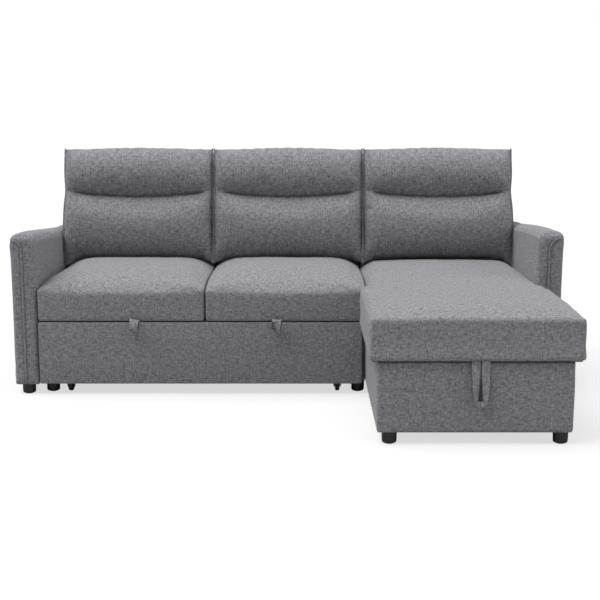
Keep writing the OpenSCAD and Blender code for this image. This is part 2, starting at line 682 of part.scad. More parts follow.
// T-shaped lid board, the foam core on it and the crowned cover over both
board_top = deck_z + wall_t;
module lid_prism(m, z) translate([0, 0, z[0]]) linear_extrude(z[1] - z[0])
    polygon(lid_plan(wide_x, board_x, lid_front, lid_rear + m, m));
module lid_board() color("burlywood") placed() lid_prism(board_margin, [deck_z, board_top]);
module lid_foam() color("khaki") placed() lid_prism(board_margin + 16, [board_top, board_top + lid_foam_h]);
module lid_cushion() color("dimgray") placed() difference() {
    lid_form();
    lid_prism(board_margin, [lid_base - 1, board_top]);
    lid_prism(board_margin + 16, [board_top - 1, board_top + lid_foam_h]);
}

// Pull loop: a flat band that hangs from the lid board's front edge in a narrow U
loop_x = (box_x[0] + box_x[1]) / 2 + 15;
loop_y = lid_front + board_margin - band_t;
loop_r = band_w + slot_w / 2;
module lid_pull_loop() color("dimgray") placed() translate([loop_x, loop_y + band_t, deck_z])
    rotate([90, 0, 0]) linear_extrude(band_t) difference() {
        union() {
            translate([-band_w - 2, -loop_l + loop_r])
                square([2 * band_w + 4, loop_l - loop_r + lid_base - deck_z]);
            translate([0, -loop_l + loop_r]) circle(r = loop_r);
        }
        polygon([[-2, 10], [2, 10], [slot_w / 2, -loop_l + loop_r], [-slot_w / 2, -loop_l + loop_r]]);
        translate([0, -loop_l + loop_r]) circle(d = slot_w);
    }

// Gas springs between the box walls and the lid
module gas_along(x) translate([x, gas_foot[0], gas_foot[1]]) rotate([gas_angle, 0, 0]) children();

module gas_spring_feet() color("silver") placed() for (s = [0, 1]) let (d = s == 0 ? 1 : -1, w = box_in[s]) {
    eye = gas_x[s] + d * (eye_t / 2 + snug);
    slab(span(w, w + d * plate_t), [gas_foot[0] - 18, gas_foot[0] + 18],
        [gas_foot[1] - 22, gas_foot[1] + 22]);
    bar_x(span(w + d * plate_t, eye), gas_foot[0], gas_foot[1], gas_pin_d);
    bar_x(span(eye, eye + d * 2), gas_foot[0], gas_foot[1], gas_pin_d + 4);
}

module gas_cylinder(x) gas_along(x) {
    difference() {
        union() {
            bar_x([-eye_t / 2, eye_t / 2], 0, 0, eye_d);
            translate([0, eye_d / 2 - 2, 0]) rotate([-90, 0, 0]) cylinder(h = 8, d = eye_t + 4);
            translate([0, eye_d / 2 + 4, 0]) rotate([-90, 0, 0])
                cylinder(h = gas_tube_l - eye_d / 2 - 4, d = gas_d);
        }
        bar_x([-eye_t, eye_t], 0, 0, gas_pin_d + 2 * pin_clearance);
        translate([0, eye_d / 2 + 8, 0]) rotate([-90, 0, 0])
            cylinder(h = gas_len, d = rod_d + 2 * pin_clearance);
    }
}
module gas_rod(x) gas_along(x) {
    translate([0, eye_d / 2 + 9, 0]) rotate([-90, 0, 0]) cylinder(h = gas_len - eye_d - 10, d = rod_d);
    translate([0, gas_len - eye_d / 2 - 1, 0]) bar_x([-eye_t / 2, eye_t / 2], 0, 0, eye_d);
}

module left_gas_cylinder() color("dimgray") placed() gas_cylinder(gas_x[0]);
module left_gas_rod() color("silver") placed() gas_rod(gas_x[0]);
module right_gas_cylinder() color("dimgray") placed() gas_cylinder(gas_x[1]);
module right_gas_rod() color("silver") placed() gas_rod(gas_x[1]);

// Brackets under the lid board, each beside its rod's eye: this pivot is left open
head_gap = 1;
module gas_spring_heads() color("silver") placed() for (s = [0, 1]) let (d = s == 0 ? 1 : -1) {
    a = gas_x[s] + d * (eye_t / 2 + head_gap);
    b = a + d * plate_t;
    difference() {
        slab(span(a, b), [gas_head[0] - 14, gas_head[0] + 14], [gas_head[1] - 10, deck_z]);
        bar_x(span(a - d, b + d), gas_head[0], gas_head[1], gas_pin_d);
    }
    slab(span(b, b + d * 20), [gas_head[0] - 14, gas_head[0] + 14], [deck_z - plate_t, deck_z]);
}

// Pull-out bed: padded front panel on a board, carried by two lower rails on casters
module bed_front_board() color("burlywood") placed()
    slab([panel_x[0] + 4, panel_x[1] - 4], panel_board_y, [box_bottom + 3, panel_top - 3]);
module bed_front_cover() color("dimgray") placed() {
    slab(panel_x, panel_front, [box_bottom, panel_top]);
    slab(panel_x, [panel_front[1], panel_board_y[1]], [panel_top - 3, panel_top]);
    slab(panel_x, [panel_front[1], panel_board_y[1]], [box_bottom, box_bottom + 3]);
    for (x = [[panel_x[0], panel_x[0] + 4], [panel_x[1] - 4, panel_x[1]]])
        slab(x, [panel_front[1], panel_board_y[1]], [box_bottom + 3, panel_top - 3]);
}
function lower_rail_x(i) = [caster_x[i] - bed_rail_w / 2, caster_x[i] + bed_rail_w / 2];
module bed_lower_rails() color("burlywood") placed()
    for (i = [0, 1]) slab(lower_rail_x(i), [panel_board_y[1], bed_rear], lower_rail_z);
module bed_rear_rail() color("burlywood") placed()
    slab([lower_rail_x(0)[0], lower_rail_x(1)[1]], [bed_rear, bed_rear + board_t - 4], lower_rail_z);
module bed_upper_rails() color("burlywood") placed()
    for (x = [[bed_side_x[0], bed_side_x[0] + upper_rail_w], [bed_side_x[1] - upper_rail_w, bed_side_x[1]]])
        slab(x, [panel_board_y[1], bed_rear - 10], upper_rail_z);

slat_w = 60;
slat_count = 6;
module bed_slats() color("wheat") placed() for (i = [0:slat_count - 1])
    let (y = panel_board_y[1] + 4 + (bed_rear - 18 - slat_w - panel_board_y[1]) * i / (slat_count - 1))
        slab([bed_side_x[0] + 2, bed_side_x[1] - 2], [y, y + slat_w], [slat_z, slat_z + slat_t]);

pad_x = [bed_side_x[0] + 6, bed_side_x[1] - 8];
pad_y = [panel_board_y[1] + 6, bed_rear - 12];
module bed_pad() color("gray") placed() seat_form(pad_x, pad_y, pad_z, bed_pad_h - 4, 4);

// Folded lift arms between the lower and upper rails, two at each side, with their pins
arm_low = lower_rail_z[0] + 12;
arm_high = upper_rail_z[0] + 12;
lift_len = 190;
lift_y = [110, 330];
lift_t = 5;
lift_pin_d = 10;
lift_angle = asin((arm_high - arm_low) / lift_len);
module lift_arm(x, y) translate([x, y, arm_low]) rotate([lift_angle, 0, 0]) {
    slab([0, lift_t], [0, lift_len], [-8, 8]);
    for (a = [0, lift_len]) bar_x([0, lift_t], a, 0, 22);
}
module lift_set(inner, outer) {
    mid = (inner + outer) / 2;
    past = inner > outer ? -lift_t : lift_t;
    for (y = lift_y) {
        lift_arm(mid - lift_t / 2, y);
        bar_x(span(inner, mid + past), y, arm_low, lift_pin_d);
        bar_x(span(outer, mid - past), y + lift_len * cos(lift_angle), arm_high, lift_pin_d);
    }
}
module lift_arms() color("silver") placed() {
    lift_set(lower_rail_x(0)[0], bed_side_x[0] + upper_rail_w);
    lift_set(lower_rail_x(1)[1], bed_side_x[1] - upper_rail_w);
}

// Pull tabs: small fabric loops, flat where they are sewn to the panel under its top seam
left_tab_inset = 370;
right_tab_inset = 330;
tab_x = [panel_x[0] + left_tab_inset, panel_x[1] - right_tab_inset];
tab_hole = tab_d - 2 * band_t;
module bed_pull_tabs() color("dimgray") placed() for (x = tab_x)
    translate([0, panel_front[0] - tab_d / 2, panel_top - tab_d / 2]) difference() {
        union() {
            bar_x([x - tab_w / 2, x + tab_w / 2], 0, 0, tab_d);
            slab([x - tab_w / 2, x + tab_w / 2], [0, tab_d / 2], [-tab_d / 2, tab_d / 2]);
        }
        bar_x([x - tab_w, x + tab_w], 0, 0, tab_hole);
    }

// Fixed casters: a fork under the lower rail, an axle and a wheel
fork_t = 2.5;
fork_gap = 1;
fork_x = wheel_w / 2 + fork_gap;
module caster_fork(x, y) difference() {
    union() {
        slab([x - bed_rail_w / 2, x + bed_rail_w / 2], [y - 26, y + 26],
            [lower_rail_z[0] - fork_t, lower_rail_z[0]]);
        for (s = [-1, 1]) let (a = x + s * (fork_x + fork_t / 2)) {
            slab([a - fork_t / 2, a + fork_t / 2], [y - 13, y + 13], [wheel_z, lower_rail_z[0] - fork_t]);
            bar_x([a - fork_t / 2, a + fork_t / 2], y, wheel_z, 26);
        }
    }
    bar_x([x - bed_rail_w, x + bed_rail_w], y, wheel_z, axle_d);
}
module caster_forks() color("dimgray") placed() for (x = caster_x, y = caster_y) caster_fork(x, y);
module caster_axles() color("silver") placed() for (x = caster_x, y = caster_y) {
    bar_x([x - fork_x - fork_t - 1, x + fork_x + fork_t + 1], y, wheel_z, axle_d);
    for (s = [-1, 1]) let (a = x + s * (fork_x + fork_t + 1.5)) bar_x([a - 1.5, a + 1.5], y, wheel_z, 12);
}

// Wheel with a round tread, a recessed web and a hub
module wheel(x, y) translate([x, y, wheel_z]) rotate([0, 90, 0]) difference() {
    rotate_extrude() polygon([[axle_d / 2 + pin_clearance, -wheel_w / 2], [wheel_hub_d / 2, -wheel_w / 2],
        [wheel_hub_d / 2, -3], [wheel_d / 2 - 7, -3], [wheel_d / 2 - 7, -wheel_w / 2 + 1],
        [wheel_d / 2 - 2, -wheel_w / 2 + 1], [wheel_d / 2, -wheel_w / 2 + 4], [wheel_d / 2, wheel_w / 2 - 4],
        [wheel_d / 2 - 2, wheel_w / 2 - 1], [wheel_d / 2 - 7, wheel_w / 2 - 1], [wheel_d / 2 - 7, 3],
        [wheel_hub_d / 2, 3], [wheel_hub_d / 2, wheel_w / 2], [axle_d / 2 + pin_clearance, wheel_w / 2]]);
}
module front_left_wheel() color("black") placed() wheel(caster_x[0], caster_y[0]);
module front_right_wheel() color("black") placed() wheel(caster_x[1], caster_y[0]);
module rear_left_wheel() color("black") placed() wheel(caster_x[0], caster_y[1]);
module rear_right_wheel() color("black") placed() wheel(caster_x[1], caster_y[1]);

left_arm_core();
left_arm_cover();
right_arm_core();
right_arm_cover();
frame_bolts();
outer_feet();
chaise_feet();
seat_side_left();
seat_side_right();
seat_cross_rails();
seat_rear_board();
seat_webbing();
bed_glides();
left_seat_foam();
left_seat_cover();
middle_seat_foam();
middle_seat_cover();
sofa_back_frame();
sofa_back_cover();
left_back_cushion();
middle_back_cushion();
chaise_back_frame();
chaise_back_cover();
right_back_cushion();
section_hooks();
chaise_rear_pad();
chaise_wall_left();
chaise_wall_right();
chaise_wall_front();
chaise_cross_boards();
chaise_floor();
chaise_skirt();
hinge_brackets();
hinge_pins();
gas_spring_feet();
hinge_straps();
lid_board();
lid_foam();
lid_cushion();
lid_pull_loop();
gas_spring_heads();
left_gas_cylinder();
left_gas_rod();
right_gas_cylinder();
right_gas_rod();
bed_front_board();
bed_front_cover();
bed_lower_rails();
bed_rear_rail();
bed_upper_rails();
bed_slats();
bed_pad();
bed_pull_tabs();
lift_arms();
caster_forks();
caster_axles();
front_left_wheel();
front_right_wheel();
rear_left_wheel();
rear_right_wheel();
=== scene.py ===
"""Sectional sleeper sofa: the upholstery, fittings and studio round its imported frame."""

import logging
import math
from dataclasses import dataclass
from enum import Enum
from itertools import product
from typing import Callable, Iterable, Sequence

import bpy
import numpy as np
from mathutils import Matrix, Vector
from mathutils.kdtree import KDTree


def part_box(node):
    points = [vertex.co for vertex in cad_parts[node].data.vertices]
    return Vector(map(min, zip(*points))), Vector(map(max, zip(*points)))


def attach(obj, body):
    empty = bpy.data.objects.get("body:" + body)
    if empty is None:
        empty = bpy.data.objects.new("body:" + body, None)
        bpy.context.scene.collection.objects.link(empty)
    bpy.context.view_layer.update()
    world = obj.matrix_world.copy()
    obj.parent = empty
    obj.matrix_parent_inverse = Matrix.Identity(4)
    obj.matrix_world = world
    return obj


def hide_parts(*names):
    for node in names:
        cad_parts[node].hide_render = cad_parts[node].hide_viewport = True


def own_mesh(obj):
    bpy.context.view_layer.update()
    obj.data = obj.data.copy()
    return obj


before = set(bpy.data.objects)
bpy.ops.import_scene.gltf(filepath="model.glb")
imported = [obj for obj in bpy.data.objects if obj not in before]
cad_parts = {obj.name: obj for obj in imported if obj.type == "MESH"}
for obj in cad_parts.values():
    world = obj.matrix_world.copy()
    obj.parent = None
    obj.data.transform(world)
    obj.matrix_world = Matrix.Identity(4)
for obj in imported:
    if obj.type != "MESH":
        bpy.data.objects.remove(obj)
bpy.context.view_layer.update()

log = logging.getLogger("sofa")
Array = np.ndarray
Piece = bpy.types.Object
# Says which of a sheet's cells are left out, by the places of their middles
Cut = Callable[[Array, Array], Array]
Pair = tuple[float, float]
Triple = tuple[float, float, float]

# The seats' front plane in the shared frame, and the lean of the backs
FRONT = -0.091
LEAN = math.radians(11)
CLOTH_FRAMES = 20
# A point nearer than this to a plane lies on it
ON = 1e-6


class Slot(str, Enum):
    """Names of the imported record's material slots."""

    FABRIC = "upholstery_fabric"
    TICKING = "bed_ticking"
    FOAM = "foam"
    WEBBING = "webbing"
    PLASTIC = "black_plastic"


class Side(Enum):
    """The side of the sofa that a piece belongs to, seen from the front."""

    LEFT = -1
    RIGHT = 1


# ---------------------------------------------------------------- work bench


def clear() -> None:
    """Leaves edit mode and selects nothing."""
    if bpy.context.object and bpy.context.object.mode != "OBJECT":
        bpy.ops.object.mode_set(mode="OBJECT")
    bpy.ops.object.select_all(action="DESELECT")


def take_up(piece: Piece) -> None:
    """Makes one piece the only selected and the active one."""
    clear()
    piece.select_set(True)
    bpy.context.view_layer.objects.active = piece


def points(piece: Piece) -> Array:
    """Returns a piece's vertices as rows of x, y, z."""
    flat = np.empty(len(piece.data.vertices) * 3)
    piece.data.vertices.foreach_get("co", flat)
    return flat.reshape(-1, 3)


def move_points(piece: Piece, places: Array) -> None:
    """Puts a piece's vertices at new places."""
    piece.data.vertices.foreach_set("co", np.ascontiguousarray(places, dtype=np.float64).ravel())
    piece.data.update()


def pick(piece: Piece, kind: str, chosen: Array) -> None:
    """Enters edit mode with only some elements selected.

    Args:
        piece: The piece to work on.
        kind: "vertices", "edges" or "polygons".
        chosen: One truth value per element of that kind.
    """
    take_up(piece)
    for name in ("vertices", "edges", "polygons"):
        elements = getattr(piece.data, name)
        flags = chosen if name == kind else np.zeros(len(elements), bool)
        elements.foreach_set("select", np.asarray(flags, bool))
    modes = {"vertices": "VERT", "edges": "EDGE", "polygons": "FACE"}
    bpy.ops.object.mode_set(mode="EDIT")
    bpy.ops.mesh.select_mode(type=modes[kind])
    bpy.ops.object.mode_set(mode="OBJECT")
    getattr(piece.data, kind).foreach_set("select", np.asarray(chosen, bool))
    bpy.ops.object.mode_set(mode="EDIT")


def edge_ends(piece: Piece) -> Array:
    """Returns the two vertex numbers of each edge."""
    flat = np.empty(len(piece.data.edges) * 2, np.int32)
    piece.data.edges.foreach_get("vertices", flat)
    return flat.reshape(-1, 2)


def face_rows(piece: Piece, kind: str) -> Array:
    """Returns the faces' middles ("center") or directions ("normal") as rows of x, y, z."""
    flat = np.empty(len(piece.data.polygons) * 3)
    piece.data.polygons.foreach_get(kind, flat)
    return flat.reshape(-1, 3)


def corner_points(piece: Piece) -> tuple[Array, Array]:
    """Returns each face corner's vertex number and face number."""
    mesh = piece.data
    corners = np.empty(len(mesh.loops), np.int32)
    mesh.loops.foreach_get("vertex_index", corners)
    counts = np.empty(len(mesh.polygons), np.int32)
    mesh.polygons.foreach_get("loop_total", counts)
    return corners, np.repeat(np.arange(len(mesh.polygons)), counts)


def lay_cloth_map(piece: Piece, flat: Array) -> None:
    """Stores where the cloth's weave lies, in metres, one row for each face corner."""
    layers = piece.data.uv_layers
    layer = layers.get("weave") or layers.new(name="weave")
    layer.data.foreach_set("uv", np.ascontiguousarray(flat, dtype=np.float32).ravel())


def add_modifier(piece: Piece, kind: str, **settings: object) -> None:
    """Adds a modifier, sets it and applies it."""
    take_up(piece)
    made = piece.modifiers.new(kind.lower(), kind)
    for name, value in settings.items():
        setattr(made, name, value)
    bpy.ops.object.modifier_apply(modifier=made.name)


def soften(piece: Piece, degrees: float = 40) -> None:
    """Shades a piece smooth, except over sharp edges."""
    take_up(piece)
    bpy.ops.object.shade_smooth_by_angle(angle=math.radians(degrees))


def mend(piece: Piece, gap: float = 1e-5, fill: bool = False) -> None:
    """Merges doubles, closes open ends where that is asked, and turns all faces outwards."""
    pick(piece, "vertices", np.ones(len(piece.data.vertices), bool))
    bpy.ops.mesh.remove_doubles(threshold=gap)
    if fill:
        bpy.ops.mesh.select_all(action="SELECT")
        bpy.ops.mesh.fill_holes(sides=0)
    bpy.ops.mesh.select_all(action="SELECT")
    bpy.ops.mesh.normals_make_consistent(inside=False)
    clear()


def joined(name: str, parts: Sequence[Piece]) -> Piece:
    """Joins parts into one named piece."""
    take_up(parts[0])
    for part in parts:
        part.select_set(True)
    if len(parts) > 1:
        bpy.ops.object.join()
    made = bpy.context.view_layer.objects.active
    made.name = made.data.name = name
    clear()
    return made


def grid_sheet(name: str, columns: int, rows: int) -> tuple[Piece, Array, Array]:
    """Adds a flat sheet of cells that is shaped point by point.

    Args:
        name: Name of the piece.
        columns: Number of cell lines along it.
        rows: Number of cell lines up it.

    Returns:
        The piece, and each point's column and row.
    """
    clear()
    cells = (columns - 1, rows - 1)
    bpy.ops.mesh.primitive_grid_add(x_subdivisions=cells[0], y_subdivisions=cells[1], size=1, calc_uvs=False)
    piece = bpy.context.object
    piece.name = piece.data.name = name
    unit = points(piece) + 0.5
    column, row = (np.rint(unit[:, k] * cells[k]).astype(int) for k in (0, 1))
    return piece, column, row


def running(path: Array) -> Array:
    """Distance run at each point of a path."""
    return np.concatenate([[0], np.cumsum(np.linalg.norm(np.diff(path, axis=0), axis=1))])


def edge_lines(low: float, high: float, pitch: float, near: Sequence[float]) -> Array:
    """Lines across a panel, close together at both edges and even between.

    Args:
        low: Place of the first line.
        high: Place of the last line.
        pitch: Distance of the even lines.
        near: Distances from an edge of the first lines inside it.

    Returns:
        The lines' places in rising order.
    """
    near = [0.0, *near]
    start, end = low + near[-1], high - near[-1]
    count = max(1, round((end - start) / pitch))
    middle = np.linspace(start, end, count + 1)
    return np.array([low + n for n in near[:-1]] + list(middle) + [high - n for n in near[-2::-1]])


def with_lines(lines: Array, new: Sequence[float], apart: float) -> Array:
    """Cell lines with new ones in place of those that lie too near them."""
    free = [x for x in lines if min(abs(x - n) for n in new) > apart]
    return np.array(sorted([*free, *new]))


def smooth_curve(stops: Sequence[Pair], at: Array) -> Array:
    """Height at each place of a smooth curve through stops, without overshoot.

    Args:
        stops: (place, height) pairs with rising places.
        at: The places to read.

    Returns:
        One height for each place.
    """
    xs, ys = np.array([s[0] for s in stops]), np.array([s[1] for s in stops])
    step, rise = np.diff(xs), np.diff(ys)
    slope = rise / step
    lean = np.concatenate([[slope[0]], np.zeros(len(xs) - 2), [slope[-1]]])
    for i in range(1, len(xs) - 1):
        if slope[i - 1] * slope[i] > 0:
            lean[i] = 2 * slope[i - 1] * slope[i] / (slope[i - 1] + slope[i])
    at = np.clip(at, xs[0], xs[-1])
    k = np.clip(np.searchsorted(xs, at) - 1, 0, len(step) - 1)
    t = (at - xs[k]) / step[k]
    a, b = lean[k] * step[k] - rise[k], rise[k] - lean[k + 1] * step[k]
    return ys[k] + t * rise[k] + t * (1 - t) * (a * (1 - t) + b * t)


def clamp(values: Array) -> Array:
    """Keeps values between 0 and 1."""
    return np.clip(values, 0, 1)


def fade(distance: Array, reach: float) -> Array:
    """1 at no distance, falling smoothly to 0 at the given reach."""
    t = clamp(1 - distance / reach)
    return t * t * (3 - 2 * t)


def round_off(p: Array, q: Array) -> tuple[Array, Array]:
    """How far points move in from two walls, so that the edge where these meet is round.

    Args:
        p: How much nearer than the edge's radius each point lies to the first wall.
        q: The same for the second wall.

    Returns:
        The way in from the first wall and from the second.
    """
    near = (p > 0) & (q > 0)
    scale = np.where(near, np.maximum(p, q) / np.maximum(np.hypot(p, q), 1e-9), 1)
    return np.where(near, p - p * scale, 0), np.where(near, q - q * scale, 0)


def ripple(a: Array, b: Array, length: float, seed: float) -> Array:
    """Soft unevenness of stuffed cloth, about -1 to 1, with waves of about one length."""
    k = 2 * math.pi / length
    total = np.zeros_like(a)
    for i, turn in enumerate((0.3, 1.4, 2.2, 3.5, 4.4)):
        angle = turn + seed * (1.7 + i)
        stretch = 0.7 + 0.23 * i
        total += np.sin(k * stretch * (a * math.cos(angle) + b * math.sin(angle)) + 2.4 * i + 5 * seed)
    return total / 3.2


@dataclass(frozen=True)
class Frame:
    """Where a piece's own directions a, b and c lie in the room."""

    origin: Triple = (0.0, 0.0, 0.0)
    a: Triple = (1.0, 0.0, 0.0)
    b: Triple = (0.0, 1.0, 0.0)
    c: Triple = (0.0, 0.0, 1.0)

    def to_room(self, places: Array) -> Array:
        """Turns rows of a, b, c into rows of x, y, z."""
        return np.array(self.origin) + places @ np.array([self.a, self.b, self.c])


class Block:
    """A closed form cut into cells: a flat sheet along a and b that is given a depth along c.

    Its cells are numbered, so that each point knows its place on the plain block while the
    block is shaped.
    """

    def __init__(self, name: str, lines: Sequence[Array], outside: Cut | None = None) -> None:
        """Adds a grid, cuts away what lies outside, gives it its depth and its cloth map.

        Args:
            name: Name of the piece.
            lines: Places of the cell lines along a, b and c.
            outside: Says for cells, by the places of their middles, which ones are left out.
        """
        self.lines = [np.asarray(x, float) for x in lines]
        cells = [len(x) - 1 for x in self.lines]
        self.piece, _, _ = grid_sheet(name, cells[0] + 1, cells[1] + 1)
        if outside is not None:
            middle = face_rows(self.piece, "center")
            place = [np.interp((middle[:, k] + 0.5) * cells[k], np.arange(cells[k] + 1), self.lines[k])
                     for k in (0, 1)]
            pick(self.piece, "polygons", outside(*place))
            bpy.ops.mesh.delete(type="FACE")
        pick(self.piece, "polygons", np.ones(len(self.piece.data.polygons), bool))
        bpy.ops.mesh.extrude_region_move(TRANSFORM_OT_translate={"value": (0, 0, 1)})
        clear()
        ends = points(self.piece)[edge_ends(self.piece)]
        if cells[2] > 1:
            pick(self.piece, "edges", np.abs(ends[:, 0, 2] - ends[:, 1, 2]) > 0.5)
            bpy.ops.mesh.subdivide(number_cuts=cells[2] - 1)
            clear()
        mend(self.piece)
        unit = points(self.piece) + np.array([0.5, 0.5, 0])
        index = np.rint(unit * np.array(cells)).astype(int)
        self.rest = np.stack([self.lines[k][index[:, k]] for k in range(3)], 1)
        self.places = self.rest.copy()
        self._lay_map(index)

    def _lay_map(self, index: Array) -> None:
        """Lays the cloth map: walls carry on from the sheet, so threads run over its edges."""
        corners, faces = corner_points(self.piece)
        count = len(self.piece.data.polygons)
        span = np.zeros((count, 3), int)
        for k in range(3):
            low, high = np.full(count, 1 << 30), np.full(count, -1)
            np.minimum.at(low, faces, index[corners, k])
            np.maximum.at(high, faces, index[corners, k])
            span[:, k] = high - low
        p = self.rest[corners]
        wall_a, wall_b = span[faces, 0] == 0, span[faces, 1] == 0
        depth = self.lines[2][-1] - p[:, 2]
        mid = [(x[0] + x[-1]) / 2 for x in self.lines]
        u = np.where(wall_a, p[:, 0] + np.sign(p[:, 0] - mid[0]) * depth, p[:, 0])
        v = np.where(wall_b, p[:, 1] + np.sign(p[:, 1] - mid[1]) * depth, p[:, 1])
        lay_cloth_map(self.piece, np.stack([u, v], 1))

    def __getattr__(self, name: str) -> Array:
        """Rest places along a, b or c."""
        if name in ("a", "b", "c"):
            return self.rest[:, "abc".index(name)]
        raise AttributeError(name)

    def whole(self) -> "Rect":
        """The rectangle of the whole sheet."""
        return Rect(self.lines[0][0], self.lines[0][-1], self.lines[1][0], self.lines[1][-1])

    def centred(self) -> tuple[Array, Array]:
        """Each point's place along and up the sheet, from -1 to 1."""
        u, v = ((self.rest[:, k] - (x[0] + x[-1]) / 2) / ((x[-1] - x[0]) / 2)
                for k, x in enumerate(self.lines[:2]))
        return u, v

    def settle(self, home: Frame) -> Piece:
        """Puts the shaped points in the room and returns the piece."""
        move_points(self.piece, home.to_room(self.places))
        return self.piece


@dataclass(frozen=True)
class Rect:
    """A rectangle in a block's sheet."""

    a0: float
    a1: float
    b0: float
    b1: float

    def depth(self, a: Array, b: Array, corner: float) -> tuple[Array, Array, Array, Array]:
        """Distance inside the rectangle with rounded corners, and the way out.

        Args:
            a: Places along the sheet.
            b: Places up the sheet.
            corner: Radius of the corners.

        Returns:
            The distance to the outline, the outward direction's two parts, and which
            points lie in a corner.
        """
        p = np.maximum(self.a0 + corner - a, a - self.a1 + corner)
        q = np.maximum(self.b0 + corner - b, b - self.b1 + corner)
        sa = np.where(a < (self.a0 + self.a1) / 2, -1.0, 1.0)
        sb = np.where(b < (self.b0 + self.b1) / 2, -1.0, 1.0)
        bend = (p > 0) & (q > 0)
        size = np.where(bend, np.hypot(p, q), 1)
        na = np.where(bend, p / size, np.where(p >= q, 1.0, 0.0)) * sa
        nb = np.where(bend, q / size, np.where(p >= q, 0.0, 1.0)) * sb
        return corner - np.maximum(p, q), na, nb, bend

    def holds(self, a: Array, b: Array, slack: float = 0.0) -> Array:
        """Which points lie in the rectangle, or within some slack of it."""
        return (a > self.a0 - slack) & (a < self.a1 + slack) & (b > self.b0 - slack) & (b < self.b1 + slack)


def round_plan(block: Block, corner: float, rects: Sequence[Rect] = ()) -> tuple[Array, Array, Array]:
    """Rounds the corners of a sheet's outline, ring by ring.

    Args:
        block: The block, still square.
        corner: Radius of the corners.
        rects: The rectangles that make up its sheet; with none it is the whole sheet.

    Returns:
        Each point's distance inside the outline and the outward direction's two parts.
    """
    a, b = block.a, block.b
    rects = rects or [block.whole()]
    depth = np.full(len(a), -1e9)
    na, nb = np.zeros(len(a)), np.zeros(len(a))
    for rect in rects:
        d, x, y, bend = rect.depth(a, b, corner)
        best = rect.holds(a, b, 1e-9) & (d > depth)
        depth[best], na[best], nb[best] = d[best], x[best], y[best]
        free = best & bend
        for other in rects:
            if other is not rect:
                free &= ~other.holds(a, b)
        ring = corner - d
        ca = np.where(x < 0, rect.a0 + corner, rect.a1 - corner)
        cb = np.where(y < 0, rect.b0 + corner, rect.b1 - corner)
        block.places[free, 0] = (ca + x * ring)[free]
        block.places[free, 1] = (cb + y * ring)[free]
    return np.maximum(depth, 0), na, nb


def round_rim(block: Block, depth: Array, na: Array, nb: Array, radius: Array | float, top: bool) -> None:
    """Rounds the edge between the sheet and its walls.

    Args:
        block: The block to round.
        depth: Each point's distance inside the outline.
        na: Outward direction along a.
        nb: Outward direction along b.
        radius: Radius of the edge, one or one a point.
        top: Whether it is the edge at the far end of c.
    """
    c = block.lines[2]
    below = c[-1] - block.c if top else block.c - c[0]
    inward, down = round_off(radius - depth, radius - below)
    block.places[:, 0] -= na * inward
    block.places[:, 1] -= nb * inward
    block.places[:, 2] += -down if top else down


def swell(piece: Piece, held: Array, cap: float, pressure: float = 4.0, shrink: float = -0.015) -> None:
    """Fills a closed cover: blows it up as cloth and keeps the movement under a cap.

    Args:
        piece: The closed form.
        held: Which points stay where they are.
        cap: The furthest that a point may move, in metres.
        pressure: Pressure of the filling.
        shrink: How much larger the cloth is cut than its form, as a negative share.
    """
    start = points(piece)
    group = piece.vertex_groups.new(name="held")
    group.add(np.flatnonzero(held).tolist(), 1.0, "REPLACE")
    take_up(piece)
    made = piece.modifiers.new("filling", "CLOTH")
    cloth = made.settings
    cloth.quality = 5
    cloth.mass = 0.3
    cloth.tension_stiffness = cloth.compression_stiffness = 15
    cloth.shear_stiffness = 5
    cloth.bending_stiffness = 0.5
    cloth.use_pressure = True
    cloth.uniform_pressure_force = pressure
    cloth.shrink_min = shrink
    cloth.vertex_group_mass = group.name
    cloth.effector_weights.gravity = 0
    made.collision_settings.use_collision = False
    made.point_cache.frame_start, made.point_cache.frame_end = 1, CLOTH_FRAMES
    for step in range(1, CLOTH_FRAMES + 1):
        bpy.context.scene.frame_set(step)
    bpy.ops.object.modifier_apply(modifier=made.name)
    bpy.context.scene.frame_set(1)
    moved = points(piece) - start
    far = np.linalg.norm(moved, axis=1)
    log.info("%s swelled by up to %.1f mm, %.1f mm on average", piece.name, far.max() * 1000,
             far.mean() * 1000)
    # The movement is eased towards the cap, so that no flat is left where it ends
    eased = cap * np.tanh(far / cap)
    move_points(piece, start + moved * (eased / np.maximum(far, 1e-9))[:, None])
    piece.vertex_groups.clear()


def refine(piece: Piece, degrees: float = 60) -> None:
    """Subdivides a piece once and shades it smooth."""
    add_modifier(piece, "SUBSURF", levels=1, render_levels=1)
    soften(piece, degrees)


def swept(name: str, path: Array, section: Array, across: Array) -> Piece:
    """A band, welt or tube drawn along a path.

    Args:
        name: Name of the piece.
        path: Points that it follows.
        section: Outline of its section as (across, out) pairs; it closes on its first point.
        across: The direction that the section's first measure follows, one or one a point.

    Returns:
        The closed piece.
    """
    path = np.asarray(path, float)
    ring = np.vstack([section, section[:1]])
    piece, i, j = grid_sheet(name, len(path), len(ring))
    along = np.gradient(path, axis=0)
    along /= np.linalg.norm(along, axis=1)[:, None]
    side = np.broadcast_to(np.asarray(across, float), path.shape).copy()
    side -= along * (side * along).sum(1)[:, None]
    side /= np.linalg.norm(side, axis=1)[:, None]
    out = np.cross(along, side)
    corners, _ = corner_points(piece)
    lay_cloth_map(piece, np.stack([running(ring)[j[corners]], running(path)[i[corners]]], 1))
    move_points(piece, path[i] + side[i] * ring[j, :1] + out[i] * ring[j, 1:])
    mend(piece, 1e-6, fill=True)
    return piece


def band_section(width: float, thick: float, steps: int = 3, between: int = 0) -> Array:
    """Outline of a flat band with round edges and points between them, counter-clockwise."""
    r = thick / 2
    turn = [math.pi * k / steps - math.pi / 2 for k in range(steps + 1)]
    right = [(width / 2 - r + r * math.cos(t), r * math.sin(t)) for t in turn]
    flat = [(x, r) for x in np.linspace(width / 2 - r, r - width / 2, between + 2)[1:-1]]
    return np.array(right + flat + [(-x, -z) for x, z in right + flat])


